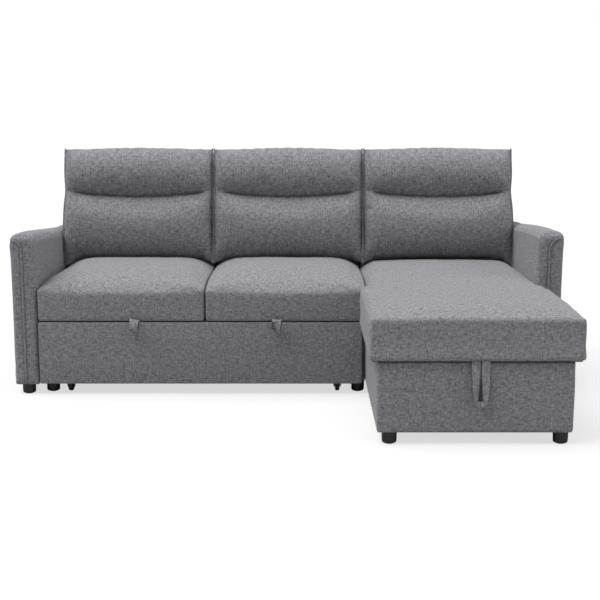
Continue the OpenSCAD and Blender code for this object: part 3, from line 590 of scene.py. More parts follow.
def on_surface(target: Piece, origins: Array, direction: Triple) -> tuple[Array, Array]:
    """Drops points on a piece's surface along a direction.

    Args:
        target: The piece to hit.
        origins: Where the rays start.
        direction: The way that they go.

    Returns:
        The places hit and the surface's directions there; a miss repeats the place before.
    """
    hits, normals = [], []
    for start in origins:
        found, place, normal, _ = target.ray_cast(Vector(start), Vector(direction))
        if found or not hits:
            hits.append(list(place) if found else list(start))
            normals.append(list(normal) if found else [-x for x in direction])
        else:
            hits.append(hits[-1])
            normals.append(normals[-1])
    return np.array(hits), np.array(normals)


# ---------------------------------------------------------------- shader maths


class Signal:
    """A value in a shader, so that node maths reads as plain arithmetic."""

    def __init__(self, graph: "Graph", socket: bpy.types.NodeSocket) -> None:
        """Keeps the graph that it is in and the socket that gives the value."""
        self.graph = graph
        self.socket = socket

    def __add__(self, other: "Value") -> "Signal":
        """Sum."""
        return self.graph.maths("ADD", self, other)

    def __sub__(self, other: "Value") -> "Signal":
        """Difference."""
        return self.graph.maths("SUBTRACT", self, other)

    def __rsub__(self, other: "Value") -> "Signal":
        """Difference from a number."""
        return self.graph.maths("SUBTRACT", other, self)

    def __mul__(self, other: "Value") -> "Signal":
        """Product."""
        return self.graph.maths("MULTIPLY", self, other)

    def __truediv__(self, other: "Value") -> "Signal":
        """Quotient."""
        return self.graph.maths("DIVIDE", self, other)

    def __gt__(self, other: "Value") -> "Signal":
        """1 where it is greater."""
        return self.graph.maths("GREATER_THAN", self, other)

    def __abs__(self) -> "Signal":
        """Size without sign."""
        return self.graph.maths("ABSOLUTE", self)

    __radd__ = __add__
    __rmul__ = __mul__


Value = Signal | float


class Graph:
    """The node tree of one material or of the world."""

    def __init__(self, tree: bpy.types.NodeTree) -> None:
        """Empties the tree."""
        self.tree = tree
        tree.nodes.clear()

    def node(self, kind: str, settings: dict[str, object] | None = None,
             inputs: dict[str | int, object] | None = None) -> bpy.types.Node:
        """Adds a node.

        Args:
            kind: Its type, without the words ShaderNode.
            settings: Its own settings, set first; "stops" fills a colour ramp.
            inputs: A Signal, a number or a tuple for each named or numbered socket.

        Returns:
            The new node.
        """
        made = self.tree.nodes.new("ShaderNode" + kind)
        for name, value in (settings or {}).items():
            if name == "stops":
                ramp = made.color_ramp.elements
                while len(ramp) < len(value):
                    ramp.new(1.0)
                for element, (place, colour) in zip(ramp, value):
                    element.position, element.color = place, (*colour, 1)
            else:
                setattr(made, name, value)
        for name, value in (inputs or {}).items():
            if isinstance(value, Signal):
                self.tree.links.new(value.socket, made.inputs[name])
            else:
                made.inputs[name].default_value = value
        return made

    def out(self, made: bpy.types.Node, name: str | int = 0) -> Signal:
        """The value that a node gives."""
        return Signal(self, made.outputs[name])

    def maths(self, operation: str, *values: Value) -> Signal:
        """One step of arithmetic."""
        return self.out(self.node("Math", {"operation": operation}, dict(enumerate(values))))

    def noise(self, vector: Signal, scale: float, detail: float = 2.0, rough: float = 0.5) -> Signal:
        """Noise from about 0 to 1."""
        return self.out(self.node("TexNoise", inputs={"Vector": vector, "Scale": scale, "Detail": detail,
                                                      "Roughness": rough}))

    def parts(self, vector: Signal) -> list[Signal]:
        """The three numbers of a vector."""
        split = self.node("SeparateXYZ", inputs={0: vector})
        return [self.out(split, k) for k in range(3)]

    def vector(self, x: Value, y: Value, z: Value = 0.0) -> Signal:
        """A vector of three values."""
        return self.out(self.node("CombineXYZ", inputs={0: x, 1: y, 2: z}))

    def mixed(self, share: Value, first: object, second: object) -> Signal:
        """A colour between two colours."""
        made = self.node("Mix", {"data_type": "RGBA"}, {0: share, 6: first, 7: second})
        return self.out(made, 2)

    def scaled(self, colour: object, share: Value) -> Signal:
        """A colour times a value."""
        made = self.node("VectorMath", {"operation": "SCALE"}, {"Vector": colour, "Scale": share})
        return self.out(made, 0)

    def bump(self, height: Signal, strength: float, distance: float) -> Signal:
        """The surface's direction over small heights."""
        return self.out(self.node("Bump", inputs={"Height": height, "Strength": strength,
                                                  "Distance": distance}))

    def wave(self, place: Signal, length: float) -> Signal:
        """A wave from -1 to 1 of one length."""
        return self.maths("SINE", place * (2 * math.pi / length))

    def coordinates(self) -> Signal:
        """The place on the piece itself."""
        return self.out(self.node("TexCoord"), "Object")

    def weave(self) -> tuple[Signal, Signal, Signal]:
        """The place on the cloth map, and its measures across and along."""
        place = self.out(self.node("UVMap", {"uv_map": "weave"}))
        across, along, _ = self.parts(place)
        return place, across, along

    def surface(self, **inputs: object) -> None:
        """Ends a material in one Principled shader; underscores stand for spaces."""
        named = {name.replace("_", " "): value for name, value in inputs.items()}
        shader = self.node("BsdfPrincipled", inputs=named)
        end = self.node("OutputMaterial")
        self.tree.links.new(shader.outputs[0], end.inputs[0])


@dataclass(frozen=True)
class Finish:
    """A surface finish; each kind fills its own nodes."""

    name: str

    def material(self) -> bpy.types.Material:
        """The finish's material, made on first use."""
        made = bpy.data.materials.get(self.name)
        if made is None:
            made = bpy.data.materials.new(self.name)
            made.use_nodes = True
            self.fill(Graph(made.node_tree))
        return made

    def fill(self, graph: Graph) -> None:
        """Adds the finish's nodes."""
        raise NotImplementedError


@dataclass(frozen=True)
class HeatherWeave(Finish):
    """Plain-woven upholstery cloth of mixed light and dark yarns."""

    name: str = "heather_weave"
    colour: Triple = (0.232, 0.232, 0.249)
    pitch: float = 0.0017
    yarn_share: float = 0.55
    cloud_share: float = 0.55
    slub_share: float = 1.55
    patch_share: float = 0.26
    sheen: float = 0.15

    def fill(self, graph: Graph) -> None:
        """Threads over and under, each with its own tone, soft clouds of colour, raised threads painted
        lighter than the hollows between them, and painted shade from the seam attribute.
        """
        uv, u, v = graph.weave()
        wander = graph.noise(uv, 90, 2) - 0.5
        across = u / self.pitch + wander * 0.9
        along = v / self.pitch + (graph.noise(graph.vector(v, u), 83, 2) - 0.5) * 0.9
        su, sv = graph.wave(across, 2.0), graph.wave(along, 2.0)
        both = su * sv * 0.5
        warp = abs(su) * 0.5 + both
        weft = abs(sv) * 0.5 - both
        on_top = warp > weft
        warp_tone = graph.noise(graph.vector(graph.maths("FLOOR", across) * 7.31, v * 55), 1, 1)
        weft_tone = graph.noise(graph.vector(graph.maths("FLOOR", along) * 5.17, u * 55, 9.0), 1, 1)
        tone = weft_tone + (warp_tone - weft_tone) * on_top
        height = graph.maths("MAXIMUM", warp, weft)
        fleck = graph.noise(uv, 150, 2, 0.6)
        cloud = graph.noise(uv, 24, 3, 0.65)
        slub = (graph.noise(graph.vector(u * 50, v * 150), 1, 2.5, 0.7)
                + graph.noise(graph.vector(u * 150, v * 50, 4.0), 1, 2.5, 0.7) - 1.0)
        # Painted shade: the seam attribute darkens the cloth where shade falls in seam folds, between parts
        # and under overhangs
        seam = graph.out(graph.node("Attribute", {"attribute_name": "seam"}), "Fac")
        # Painted shade: the (height - 0.45) term lights the thread crowns and darkens the hollows between
        # threads
        light = (1.0 + (tone - 0.5) * self.yarn_share * 2 + (fleck - 0.5) * self.cloud_share * 2
                 + slub * self.slub_share + (cloud - 0.5) * self.patch_share + (height - 0.45) * 0.5)
        light = light * (1.0 - seam * 0.85)
        graph.surface(Base_Color=graph.scaled(self.colour, light),
                      Roughness=0.82 + (fleck - 0.5) * 0.3,
                      Sheen_Weight=self.sheen, Sheen_Roughness=0.5, Specular_IOR_Level=0.25,
                      Normal=graph.bump(height + tone * 0.5, 0.55, 0.0006))


@dataclass(frozen=True)
class Ticking(Finish):
    """Smooth pale cloth of the bed's pad, with fine stripes woven in."""

    name: str = "pad_ticking"
    colour: Triple = (0.30, 0.30, 0.31)
    twill: float = 0.0022
    stripe: float = 0.024

    def fill(self, graph: Graph) -> None:
        """Twill lines with their ridges painted a little lighter than their hollows as painted shade, darker
        stripes and a fine speckle.
        """
        uv, u, v = graph.weave()
        twill = graph.wave(u + v * 0.5, self.twill)
        stripe = graph.wave(u, self.stripe) > 0.55
        speckle = graph.noise(uv, 420, 2)
        # Painted shade: the twill's ridges are a little lighter than its hollows
        light = 1.0 + twill * 0.06 + (speckle - 0.5) * 0.3 - stripe * 0.12
        graph.surface(Base_Color=graph.scaled(self.colour, light), Roughness=0.85,
                      Sheen_Weight=0.15, Normal=graph.bump(twill, 0.3, 0.0003))


@dataclass(frozen=True)
class OpenFoam(Finish):
    """Cream polyurethane foam with open cells."""

    name: str = "open_foam"
    colour: Triple = (0.72, 0.64, 0.42)

    def fill(self, graph: Graph) -> None:
        """Small round cells, their hollows painted darker than their walls as painted shade, and faint
        yellowing.
        """
        place = graph.coordinates()
        cell = graph.out(graph.node("TexVoronoi", {"feature": "F1"}, {"Vector": place, "Scale": 520.0}),
                         "Distance")
        age = graph.noise(place, 6, 3)
        # Painted shade: the cells' hollows are darker than their walls
        light = 0.84 + cell * 0.25 + (age - 0.5) * 0.2
        graph.surface(Base_Color=graph.scaled(self.colour, light), Roughness=0.95,
                      Normal=graph.bump(cell, 0.6, 0.001))


@dataclass(frozen=True)
class WovenBand(Finish):
    """Elastic webbing or a strap, with ribs across and cords along its edges."""

    name: str = "woven_band"
    colour: Triple = (0.035, 0.035, 0.038)
    rib: float = 0.0024
    cord: float = 0.0055

    def fill(self, graph: Graph) -> None:
        """Ribs across the band, their crests painted lighter than their hollows as painted shade, with a dry,
        slightly worn face.
        """
        uv, u, v = graph.weave()
        ribs, cords = graph.wave(v, self.rib), graph.wave(u, self.cord)
        wear = graph.noise(uv, 60, 3)
        # Painted shade: the ribs' and cords' crests are lighter than their hollows
        light = 1.0 + ribs * 0.25 + cords * 0.18 + (wear - 0.5) * 0.9
        graph.surface(Base_Color=graph.scaled(self.colour, light), Roughness=0.8,
                      Normal=graph.bump(ribs + cords * 0.6, 0.6, 0.0006))


@dataclass(frozen=True)
class SawnWood(Finish):
    """Raw pine or plywood, with grain along one direction."""

    name: str = "sawn_pine"
    colour: Triple = (0.56, 0.38, 0.20)
    dark: Triple = (0.36, 0.21, 0.10)
    along: Triple = (1.2, 22.0, 22.0)

    def fill(self, graph: Graph) -> None:
        """Long grain lines, pores and soft patches, all from the piece's own place."""
        place = graph.coordinates()
        laid = graph.node("Mapping", inputs={"Vector": place, "Scale": self.along})
        long = graph.out(laid)
        rings = graph.out(graph.node("TexWave", {"wave_type": "BANDS", "bands_direction": "Z"},
                                     {"Vector": long, "Scale": 0.9, "Distortion": 7.0, "Detail": 3.0,
                                      "Detail Scale": 1.2}), "Fac")
        pores = graph.noise(long, 9, 5, 0.65)
        patch = graph.noise(place, 3.2, 2)
        share = rings * 0.45 + pores * 0.4 + patch * 0.2 - 0.12
        graph.surface(Base_Color=graph.mixed(share, (*self.colour, 1), (*self.dark, 1)),
                      Roughness=0.62 + pores * 0.2, Normal=graph.bump(pores + rings * 0.3, 0.25, 0.0008))


@dataclass(frozen=True)
class PlatedSteel(Finish):
    """Zinc-plated or coated steel."""

    name: str = "zinc_plate"
    colour: Triple = (0.56, 0.57, 0.58)
    metallic: float = 1.0
    rough: float = 0.34
    spread: float = 0.16

    def fill(self, graph: Graph) -> None:
        """Cloudy plating and fine scratches."""
        place = graph.coordinates()
        cloud = graph.noise(place, 38, 4, 0.6)
        laid = graph.node("Mapping", inputs={"Vector": place, "Scale": (9.0, 240.0, 240.0)})
        brushed = graph.noise(graph.out(laid), 4, 2)
        light = 0.9 + (cloud - 0.5) * 0.3 + (brushed - 0.5) * 0.12
        graph.surface(Base_Color=graph.scaled(self.colour, light), Metallic=self.metallic,
                      Roughness=self.rough + (cloud - 0.5) * self.spread + (brushed - 0.5) * 0.12,
                      Normal=graph.bump(brushed, 0.08, 0.0004))


@dataclass(frozen=True)
class Moulded(Finish):
    """Moulded plastic, nylon or rubber with a fine grain and scuffs."""

    name: str = "black_moulding"
    colour: Triple = (0.012, 0.012, 0.013)
    rough: float = 0.42
    grain: float = 900.0

    def fill(self, graph: Graph) -> None:
        """Spark-eroded grain, a few pale scuffs."""
        place = graph.coordinates()
        grain = graph.noise(place, self.grain, 2)
        scuff = graph.noise(place, 34, 5, 0.7)
        worn = graph.maths("MAXIMUM", scuff - 0.6, 0.0)
        graph.surface(Base_Color=graph.scaled(self.colour, 0.9 + grain * 0.2 + worn * 5.0),
                      Roughness=self.rough + (grain - 0.5) * 0.12 + worn * 1.2,
                      Normal=graph.bump(grain, 0.15, 0.0003))


WEAVE = HeatherWeave()
PINE_ALONG_Y = SawnWood("pine_front_to_rear", along=(22.0, 1.2, 22.0))
PINE_ALONG_X = SawnWood("pine_side_to_side")
PINE_UPRIGHT = SawnWood("pine_upright", along=(22.0, 22.0, 1.2))
PLYWOOD = SawnWood("birch_plywood", colour=(0.62, 0.46, 0.27), dark=(0.45, 0.30, 0.16),
                   along=(14.0, 1.6, 14.0))
ZINC = PlatedSteel()
BLACK_STEEL = PlatedSteel("black_powder_coat", colour=(0.022, 0.022, 0.024), metallic=0.0, rough=0.46)
POLISHED = PlatedSteel("ground_rod", colour=(0.62, 0.62, 0.63), rough=0.16, spread=0.06)
MOULDING = Moulded()
NYLON = Moulded("nylon_glide", colour=(0.62, 0.60, 0.54), rough=0.4)
RUBBER = Moulded("caster_tyre", colour=(0.016, 0.016, 0.017), rough=0.6, grain=500.0)


def dress(piece: Piece, finish: Finish, body: str, stands_for: Iterable[str] = ()) -> Piece:
    """Gives a finished piece its material and its body, and hides the CAD nodes it stands for.

    Args:
        piece: The finished piece.
        finish: Its finish.
        body: The body it moves with.
        stands_for: CAD nodes that it replaces.

    Returns:
        The same piece.
    """
    piece.data.materials.clear()
    piece.data.materials.append(finish.material())
    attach(piece, body)
    if stands_for:
        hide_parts(*stands_for)
    log.info("%s: %d faces, rides on %s", piece.name, len(piece.data.polygons), body)
    return piece


def clothe(piece: Piece, body: str, stands_for: Iterable[str] = ()) -> Piece:
    """Dresses a finished piece in the sofa's own cloth."""
    return dress(piece, WEAVE, body, stands_for)


def paint_shade(piece: Piece, darkness: Array) -> None:
    """Stores painted shade at each point, from 0 to 1, in the seam attribute that darkens the cloth's colour.
    """
    made = piece.data.attributes.get("seam") or piece.data.attributes.new("seam", "FLOAT", "POINT")
    made.data.foreach_set("value", clamp(darkness).astype(np.float32))


# ---------------------------------------------------------------- upholstery

NEAR = (0.004, 0.009, 0.015, 0.022, 0.031, 0.042)


@dataclass
class SeatCushion:
    """One loose seat cushion: a crowned cover with a softly rounded front, over its foam core."""

    side: str
    # Fall of the top towards each side: (how deep at the rear, how far in)
    left_shoulder: Pair = (0.018, 0.060)
    right_shoulder: Pair = (0.018, 0.060)
    edge_h: float = 0.150
    crown: float = 0.0175
    # Radius of the top edge, how many times larger it is in front, and the foot's
    rim: float = 0.017
    front_rim: float = 1.3
    foot_rim: float = 0.010
    corner: float = 0.014
    # How far the top falls and the wall swells in front, and how far in the fall begins
    front_drop: float = 0.018
    front_reach: float = 0.19
    front_shoulder: float = 0.004
    front_swell: float = 0.002
    pitch: float = 0.0125
    cap: float = 0.012
    # The cover stays put up to this height, in front up to the second, and this near the rear
    held_h: float = 0.06
    held_front_h: float = 0.125
    held_rear: float = 0.03
    # Height and length of the top's unevenness
    uneven: Pair = (0.0012, 0.19)
    seed: float = 0.3
    # Heights of the cell lines
    levels: tuple[float, ...] = (0, 0.005, 0.014, 0.035, 0.065, 0.095, 0.120, 0.131, 0.138, 0.144, 0.150)
    # Crown along the seat: (place from front -1 to rear 1, share of the crown)
    run: tuple[Pair, ...] = ((-1, 0), (-0.8, 0.25), (-0.45, 0.68), (0, 0.96), (0.4, 1.0),
                                            (0.75, 0.85), (0.9, 0.62), (1, 0.3))

    def build(self) -> Piece:
        """Builds the cover and its core and returns the cover."""
        low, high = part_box(f"{self.side}_seat_cover")
        a, b = edge_lines(low.x, high.x, self.pitch, NEAR), edge_lines(low.y, high.y, self.pitch, NEAR)
        c = low.z + np.array(self.levels)
        block = Block(f"{self.side}_seat_fabric", (a, b, c))
        depth, na, nb = round_plan(block, self.corner)
        round_rim(block, depth, na, nb, np.where(nb < -0.3, self.front_rim, 1.0) * self.rim, True)
        round_rim(block, depth, na, nb, self.foot_rim, False)
        u, v = block.centred()
        up = clamp((block.c - c[0]) / self.edge_h)
        to_left, to_right, to_front = block.a - a[0], a[-1] - block.a, block.b - b[0]
        rear = clamp((v + 1) / 2) ** 1.3
        rise = self.crown * (1 - u ** 4) * smooth_curve(self.run, v)
        rise -= self.front_drop * fade(to_front, self.front_reach)
        for inside, (drop, reach) in ((to_left, self.left_shoulder), (to_right, self.right_shoulder)):
            rise -= (self.front_shoulder + (drop - self.front_shoulder) * rear) * fade(inside, reach)
        height, length = self.uneven
        rise += height * ripple(block.a, block.b, length, self.seed)
        block.places[:, 2] += rise * up ** 2
        # Between its corners the front swells
        in_front = to_front < ON
        block.places[:, 1] -= np.where(in_front, self.front_swell * np.sin(up * math.pi) * (1 - u ** 4), 0)
        piece = block.settle(Frame())
        held = ((block.c < c[0] + self.held_h) | (b[-1] - block.b < self.held_rear)
                | (np.minimum(to_left, to_right) < ON) | (in_front & (block.c < c[0] + self.held_front_h)))
        swell(piece, held, self.cap)
        refine(piece)
        clothe(piece, "sofa", [f"{self.side}_seat_cover"])
        FoamCore(f"{self.side}_seat_core", f"{self.side}_seat_foam", "sofa").build()
        return piece


@dataclass
class FoamCore:
    """A cut foam block with eased edges, inside a cover."""

    name: str
    node: str
    body: str
    ease: float = 0.010
    # Gap to the solid's faces
    gap: float = 0.001
    pitch: float = 0.06

    def build(self) -> Piece:
        """Builds the block inside its CAD solid's box."""
        low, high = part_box(self.node)
        lines = [edge_lines(low[k] + self.gap, high[k] - self.gap, self.pitch, (0.004, self.ease))
                 for k in range(3)]
        outside, rects = self.plan(lines)
        block = Block(self.name, lines, outside)
        depth, na, nb = round_plan(block, self.ease, rects)
        for top in (True, False):
            round_rim(block, depth, na, nb, self.ease, top)
        piece = block.settle(Frame())
        soften(piece)
        return dress(piece, OpenFoam(), self.body, [self.node])

    def plan(self, lines: list[Array]) -> tuple[Cut | None, Sequence[Rect]]:
        """What is cut out of the plan, and the rectangles that it is made of."""
        return None, ()


@dataclass
class LidCore(FoamCore):
    """The lid's foam, with a neck to the rear."""

    step: float = -0.090
    inset: float = 0.036

    def plan(self, lines: list[Array]) -> tuple[Cut | None, Sequence[Rect]]:
        """Cuts both sides away behind the step.

        Args:
            lines: The cell lines, which get new ones where the block is cut.

        Returns:
            What is cut out of the plan, and the rectangles that are left.
        """
        step = FRONT + self.step
        left, right = lines[0][0] + self.inset, lines[0][-1] - self.inset
        lines[0] = with_lines(lines[0], (left, right), 0.012)
        lines[1] = with_lines(lines[1], (step,), 0.02)
        rects = [Rect(lines[0][0], lines[0][-1], lines[1][0], step),
                 Rect(left, right, lines[1][0], lines[1][-1])]
        return lambda a, b: (b > step) & ((a < left) | (a > right)), rects


@dataclass
class BackCushion:
    """One back cushion: two stuffed rolls that meet in a curved seam, with flanged sides."""

    side: str
    depth: float = 0.108
    tall: float = 0.4560
    half: float = 0.3128
    seam_mid: float = 0.257
    seam_end: float = 0.279
    waist: float = 0.005
    corner: float = 0.009
    top_arch: float = 0.016
    # Radii of the front's edges above, below and at the sides, and of the rear's
    top_rim: float = 0.030
    low_rim: float = 0.056
    side_rim: float = 0.004
    rear_rim: float = 0.014
    # The back frame's foot behind the seats' front, and the cushion's foot on it and over the floor
    frame_y: float = 0.606
    up_frame: float = 0.158
    foot_z: float = 0.442
    clear: float = 0.0014
    # Depth of the valley between the rolls where it ends at the sides
    valley: float = 0.138
    # How far the foot's level face reaches up, and its fall at an end reaches in
    level_reach: float = 0.09
    droop_reach: float = 0.11
    pitch: float = 0.0118
    cap: float = 0.016
    seed: float = 1.1
    # At the left and the right end: how far the foot falls, and how much of the waist shows
    droop: Pair = (0.0, 0.0)
    drawn: Pair = (0.25, 0.25)
    # Where the fins end, and how much is left of the cushion when the lid is open, of which only whether it
    # is below 1 is read
    place: float = 0.3176
    pressed: float = 1.0
    # Rows of cells near the sides, near the seam, and shares of the depth
    side_lines: tuple[float, ...] = (0.004, 0.008, 0.013, 0.019, 0.026, 0.034, 0.043)
    row_lines: tuple[float, ...] = (0.003, 0.008, 0.014, 0.021, 0.030, 0.040)
    layers: tuple[float, ...] = (0, 0.06, 0.16, 0.30, 0.42, 0.52, 0.61, 0.70, 0.78, 0.86, 0.93, 0.975, 1)
    # Profiles of both rolls: (place up from the foot or down from the top, depth)
    upper: tuple[Pair, ...] = (
        (0, 0.099), (0.004, 0.109), (0.010, 0.119), (0.022, 0.130), (0.038, 0.139), (0.064, 0.146),
        (0.090, 0.146), (0.112, 0.143), (0.132, 0.138), (0.152, 0.130), (0.172, 0.120), (0.190, 0.109),
        (0.205, 0.098))
    lower: tuple[Pair, ...] = (
        (0, 0.099), (0.004, 0.111), (0.010, 0.121), (0.020, 0.133), (0.036, 0.143), (0.060, 0.153),
        (0.092, 0.158), (0.124, 0.157), (0.155, 0.152), (0.186, 0.143), (0.212, 0.131), (0.231, 0.119),
        (0.243, 0.108), (0.251, 0.096))

    def build(self) -> Piece:
        """Builds the cushion and its flange and returns the cushion."""
        low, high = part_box(f"{self.side}_back_cushion")
        mid = (low.x + high.x) / 2
        foot_y = FRONT + self.frame_y + self.up_frame * math.tan(LEAN) - self.clear
        home = Frame((mid, foot_y, self.foot_z), (1, 0, 0), (0, math.sin(LEAN), math.cos(LEAN)),
                     (0, -math.cos(LEAN), math.sin(LEAN)))
        a = edge_lines(-self.half, self.half, self.pitch, self.side_lines)
        seam = self.seam_end
        b = np.concatenate([edge_lines(0, seam, self.pitch, self.row_lines),
                            edge_lines(seam, self.tall, self.pitch, self.row_lines)[1:]])
        block = Block(f"{self.side}_back_fabric", (a, b, self.depth * np.array(self.layers)))
        depth, na, nb = round_plan(block, self.corner)
        round_rim(block, depth, na, nb, self.rear_rim, False)
        # Round at the top and the bottom, almost square where the flanges are sewn
        to_top, to_foot = self.tall - block.b, block.b
        rim = np.where(to_top < to_foot, self.top_rim, self.low_rim)
        share = clamp(np.minimum(block.a - a[0], a[-1] - block.a) / 0.05)
        rim = self.side_rim + (rim - self.side_rim) * share * share * (3 - 2 * share)
        round_rim(block, np.minimum(to_top, to_foot), 0 * na, np.where(to_top < to_foot, 1.0, -1.0), rim,
                  True)
        u = block.a / self.half
        w = clamp(np.abs(u))
        # The seam line hangs between its ends, and the rows beside it follow
        dip = (self.seam_mid - self.seam_end) * (1 - u ** 2)
        above = block.b >= seam
        share = np.where(above, (self.tall - block.b) / (self.tall - seam), block.b / seam)
        shift = dip * clamp(share)
        over = clamp((block.b - seam) / (self.tall - seam))
        block.places[:, 1] += shift
        block.places[:, 1] += self.top_arch * (1 - u ** 2) * over ** 2
        line = seam + dip
        up = block.b + shift - line
        # Share of the panel's own height, so that both panels keep their profile under the curve
        go_up = clamp(up / (self.tall - line)) * (self.tall - self.seam_mid)
        go_low = clamp(-up / line) * self.seam_mid
        go_up = go_up * (self.upper[-1][0] / (self.tall - self.seam_mid))
        go_low = go_low * (self.lower[-1][0] / self.seam_mid)
        full = np.where(up >= 0, smooth_curve(self.upper, go_up), smooth_curve(self.lower, go_low))
        # At the sides the two rolls run into one another over a shallow valley
        valley = (0, self.valley)
        shallow = np.where(up >= 0, smooth_curve((valley, *self.upper[5:]), go_up),
                           smooth_curve((valley, *self.lower[5:]), go_low))
        sewn = fade(clamp(w - 0.78), 0.17)
        front = shallow + (full - shallow) * (0.18 + 0.82 * sewn)
        belly = (1 - w ** 7) ** (1 / 2.3)
        sheet = block.c > self.depth - ON
        inner = clamp(depth / 0.02)
        rise = (front - self.depth) * belly
        rise += (0.0016 * ripple(block.a, block.b, 0.16, self.seed)
                 + 0.0010 * ripple(block.a, block.b, 0.07, self.seed + 2)) * inner
        # Small gathers along the seam
        gather = np.exp(-np.abs(up) / 0.016) * sewn
        rise += 0.0011 * gather * ripple(block.a, block.b * 0.25, 0.034, self.seed + 4)
        block.places[:, 2] *= 1 + rise / self.depth
        # The foot lies level on the seats, lower where they fall away at the ends
        level = fade(block.b, self.level_reach)
        block.places[:, 1] -= level * block.places[:, 2] * math.tan(LEAN)
        for way, drop in zip((-1, 1), self.droop):
            block.places[:, 1] -= drop * level * fade(self.half - way * block.a, self.droop_reach)
        # Sides: in at the seam, out at the lower roll
        share = np.where(u < 0, self.drawn[0], self.drawn[1])
        block.places[:, 0] += np.sign(u) * w ** 5 * self.pull(block.b) * share
        piece = block.settle(home)
        row = (np.abs(block.b - seam) < ON) & sheet
        held = (block.c < self.depth * 0.5) | (row & (w < 0.93)) | (np.abs(u) > 1 - ON)
        swell(piece, held, self.cap)
        # Painted shade: darker in the fold along the seam between the rolls and along the fins, where the
        # cushions meet
        dark = np.where(sheet, np.exp(-np.abs(up) / 0.0030) * sewn * 0.6, 0)
        painted_fin_shade = 0.75 * np.exp(-(self.half - np.abs(block.a)) / 0.004)
        dark = np.maximum(dark, np.where(sheet, painted_fin_shade, 0))
        paint_shade(piece, dark)
        refine(piece, 75)
        clothe(piece, "sofa", [f"{self.side}_back_cushion"])
        fins = self._flange(home)
        if self.pressed < 1:
            # The lid's rear edge leans on this cushion as the lid opens; here the cushion and its fins only
            # get meshes of their own
            for soft in (piece, fins):
                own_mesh(soft)
        return piece

    def pull(self, up: Array) -> Array:
        """How far a side moves out at heights up the cushion: in at the seam, out at the lower roll."""
        waist = -self.waist * np.exp(-((up - self.seam_end) / 0.045) ** 2)
        return waist + 0.005 * np.exp(-((up - 0.13) / 0.09) ** 2) - 0.002 * clamp((up - 0.32) / 0.15)

    def _flange(self, home: Frame) -> Piece:
        """Sews the two layers of cloth together in a flat fin up each side, past the top corner."""
        parts = []
        for way, drop in zip((-1, 1), self.droop):
            up = np.linspace(-0.004, self.tall + 0.0035, 64)
            share = self.drawn[0] if way < 0 else self.drawn[1]
            body = self.half + self.pull(up) * share - 0.003
            outer = self.place + np.where(share > 0.5, self.pull(up) * share, 0)
            out = self.depth - 0.001 + 0.0015 * np.sin(up * 38 + way)
            foot = (drop + out * math.tan(LEAN)) * fade(up, self.level_reach)
            line = np.stack([way * (body + outer) / 2, up - foot, out], 1)
            section = band_section(self.place - self.half + 0.003, 0.0026)
            parts.append(swept("fin", home.to_room(line), section, np.array(home.a)))
        piece = joined(f"{self.side}_back_flange", parts)
        soften(piece, 50)
        return clothe(piece, "sofa")


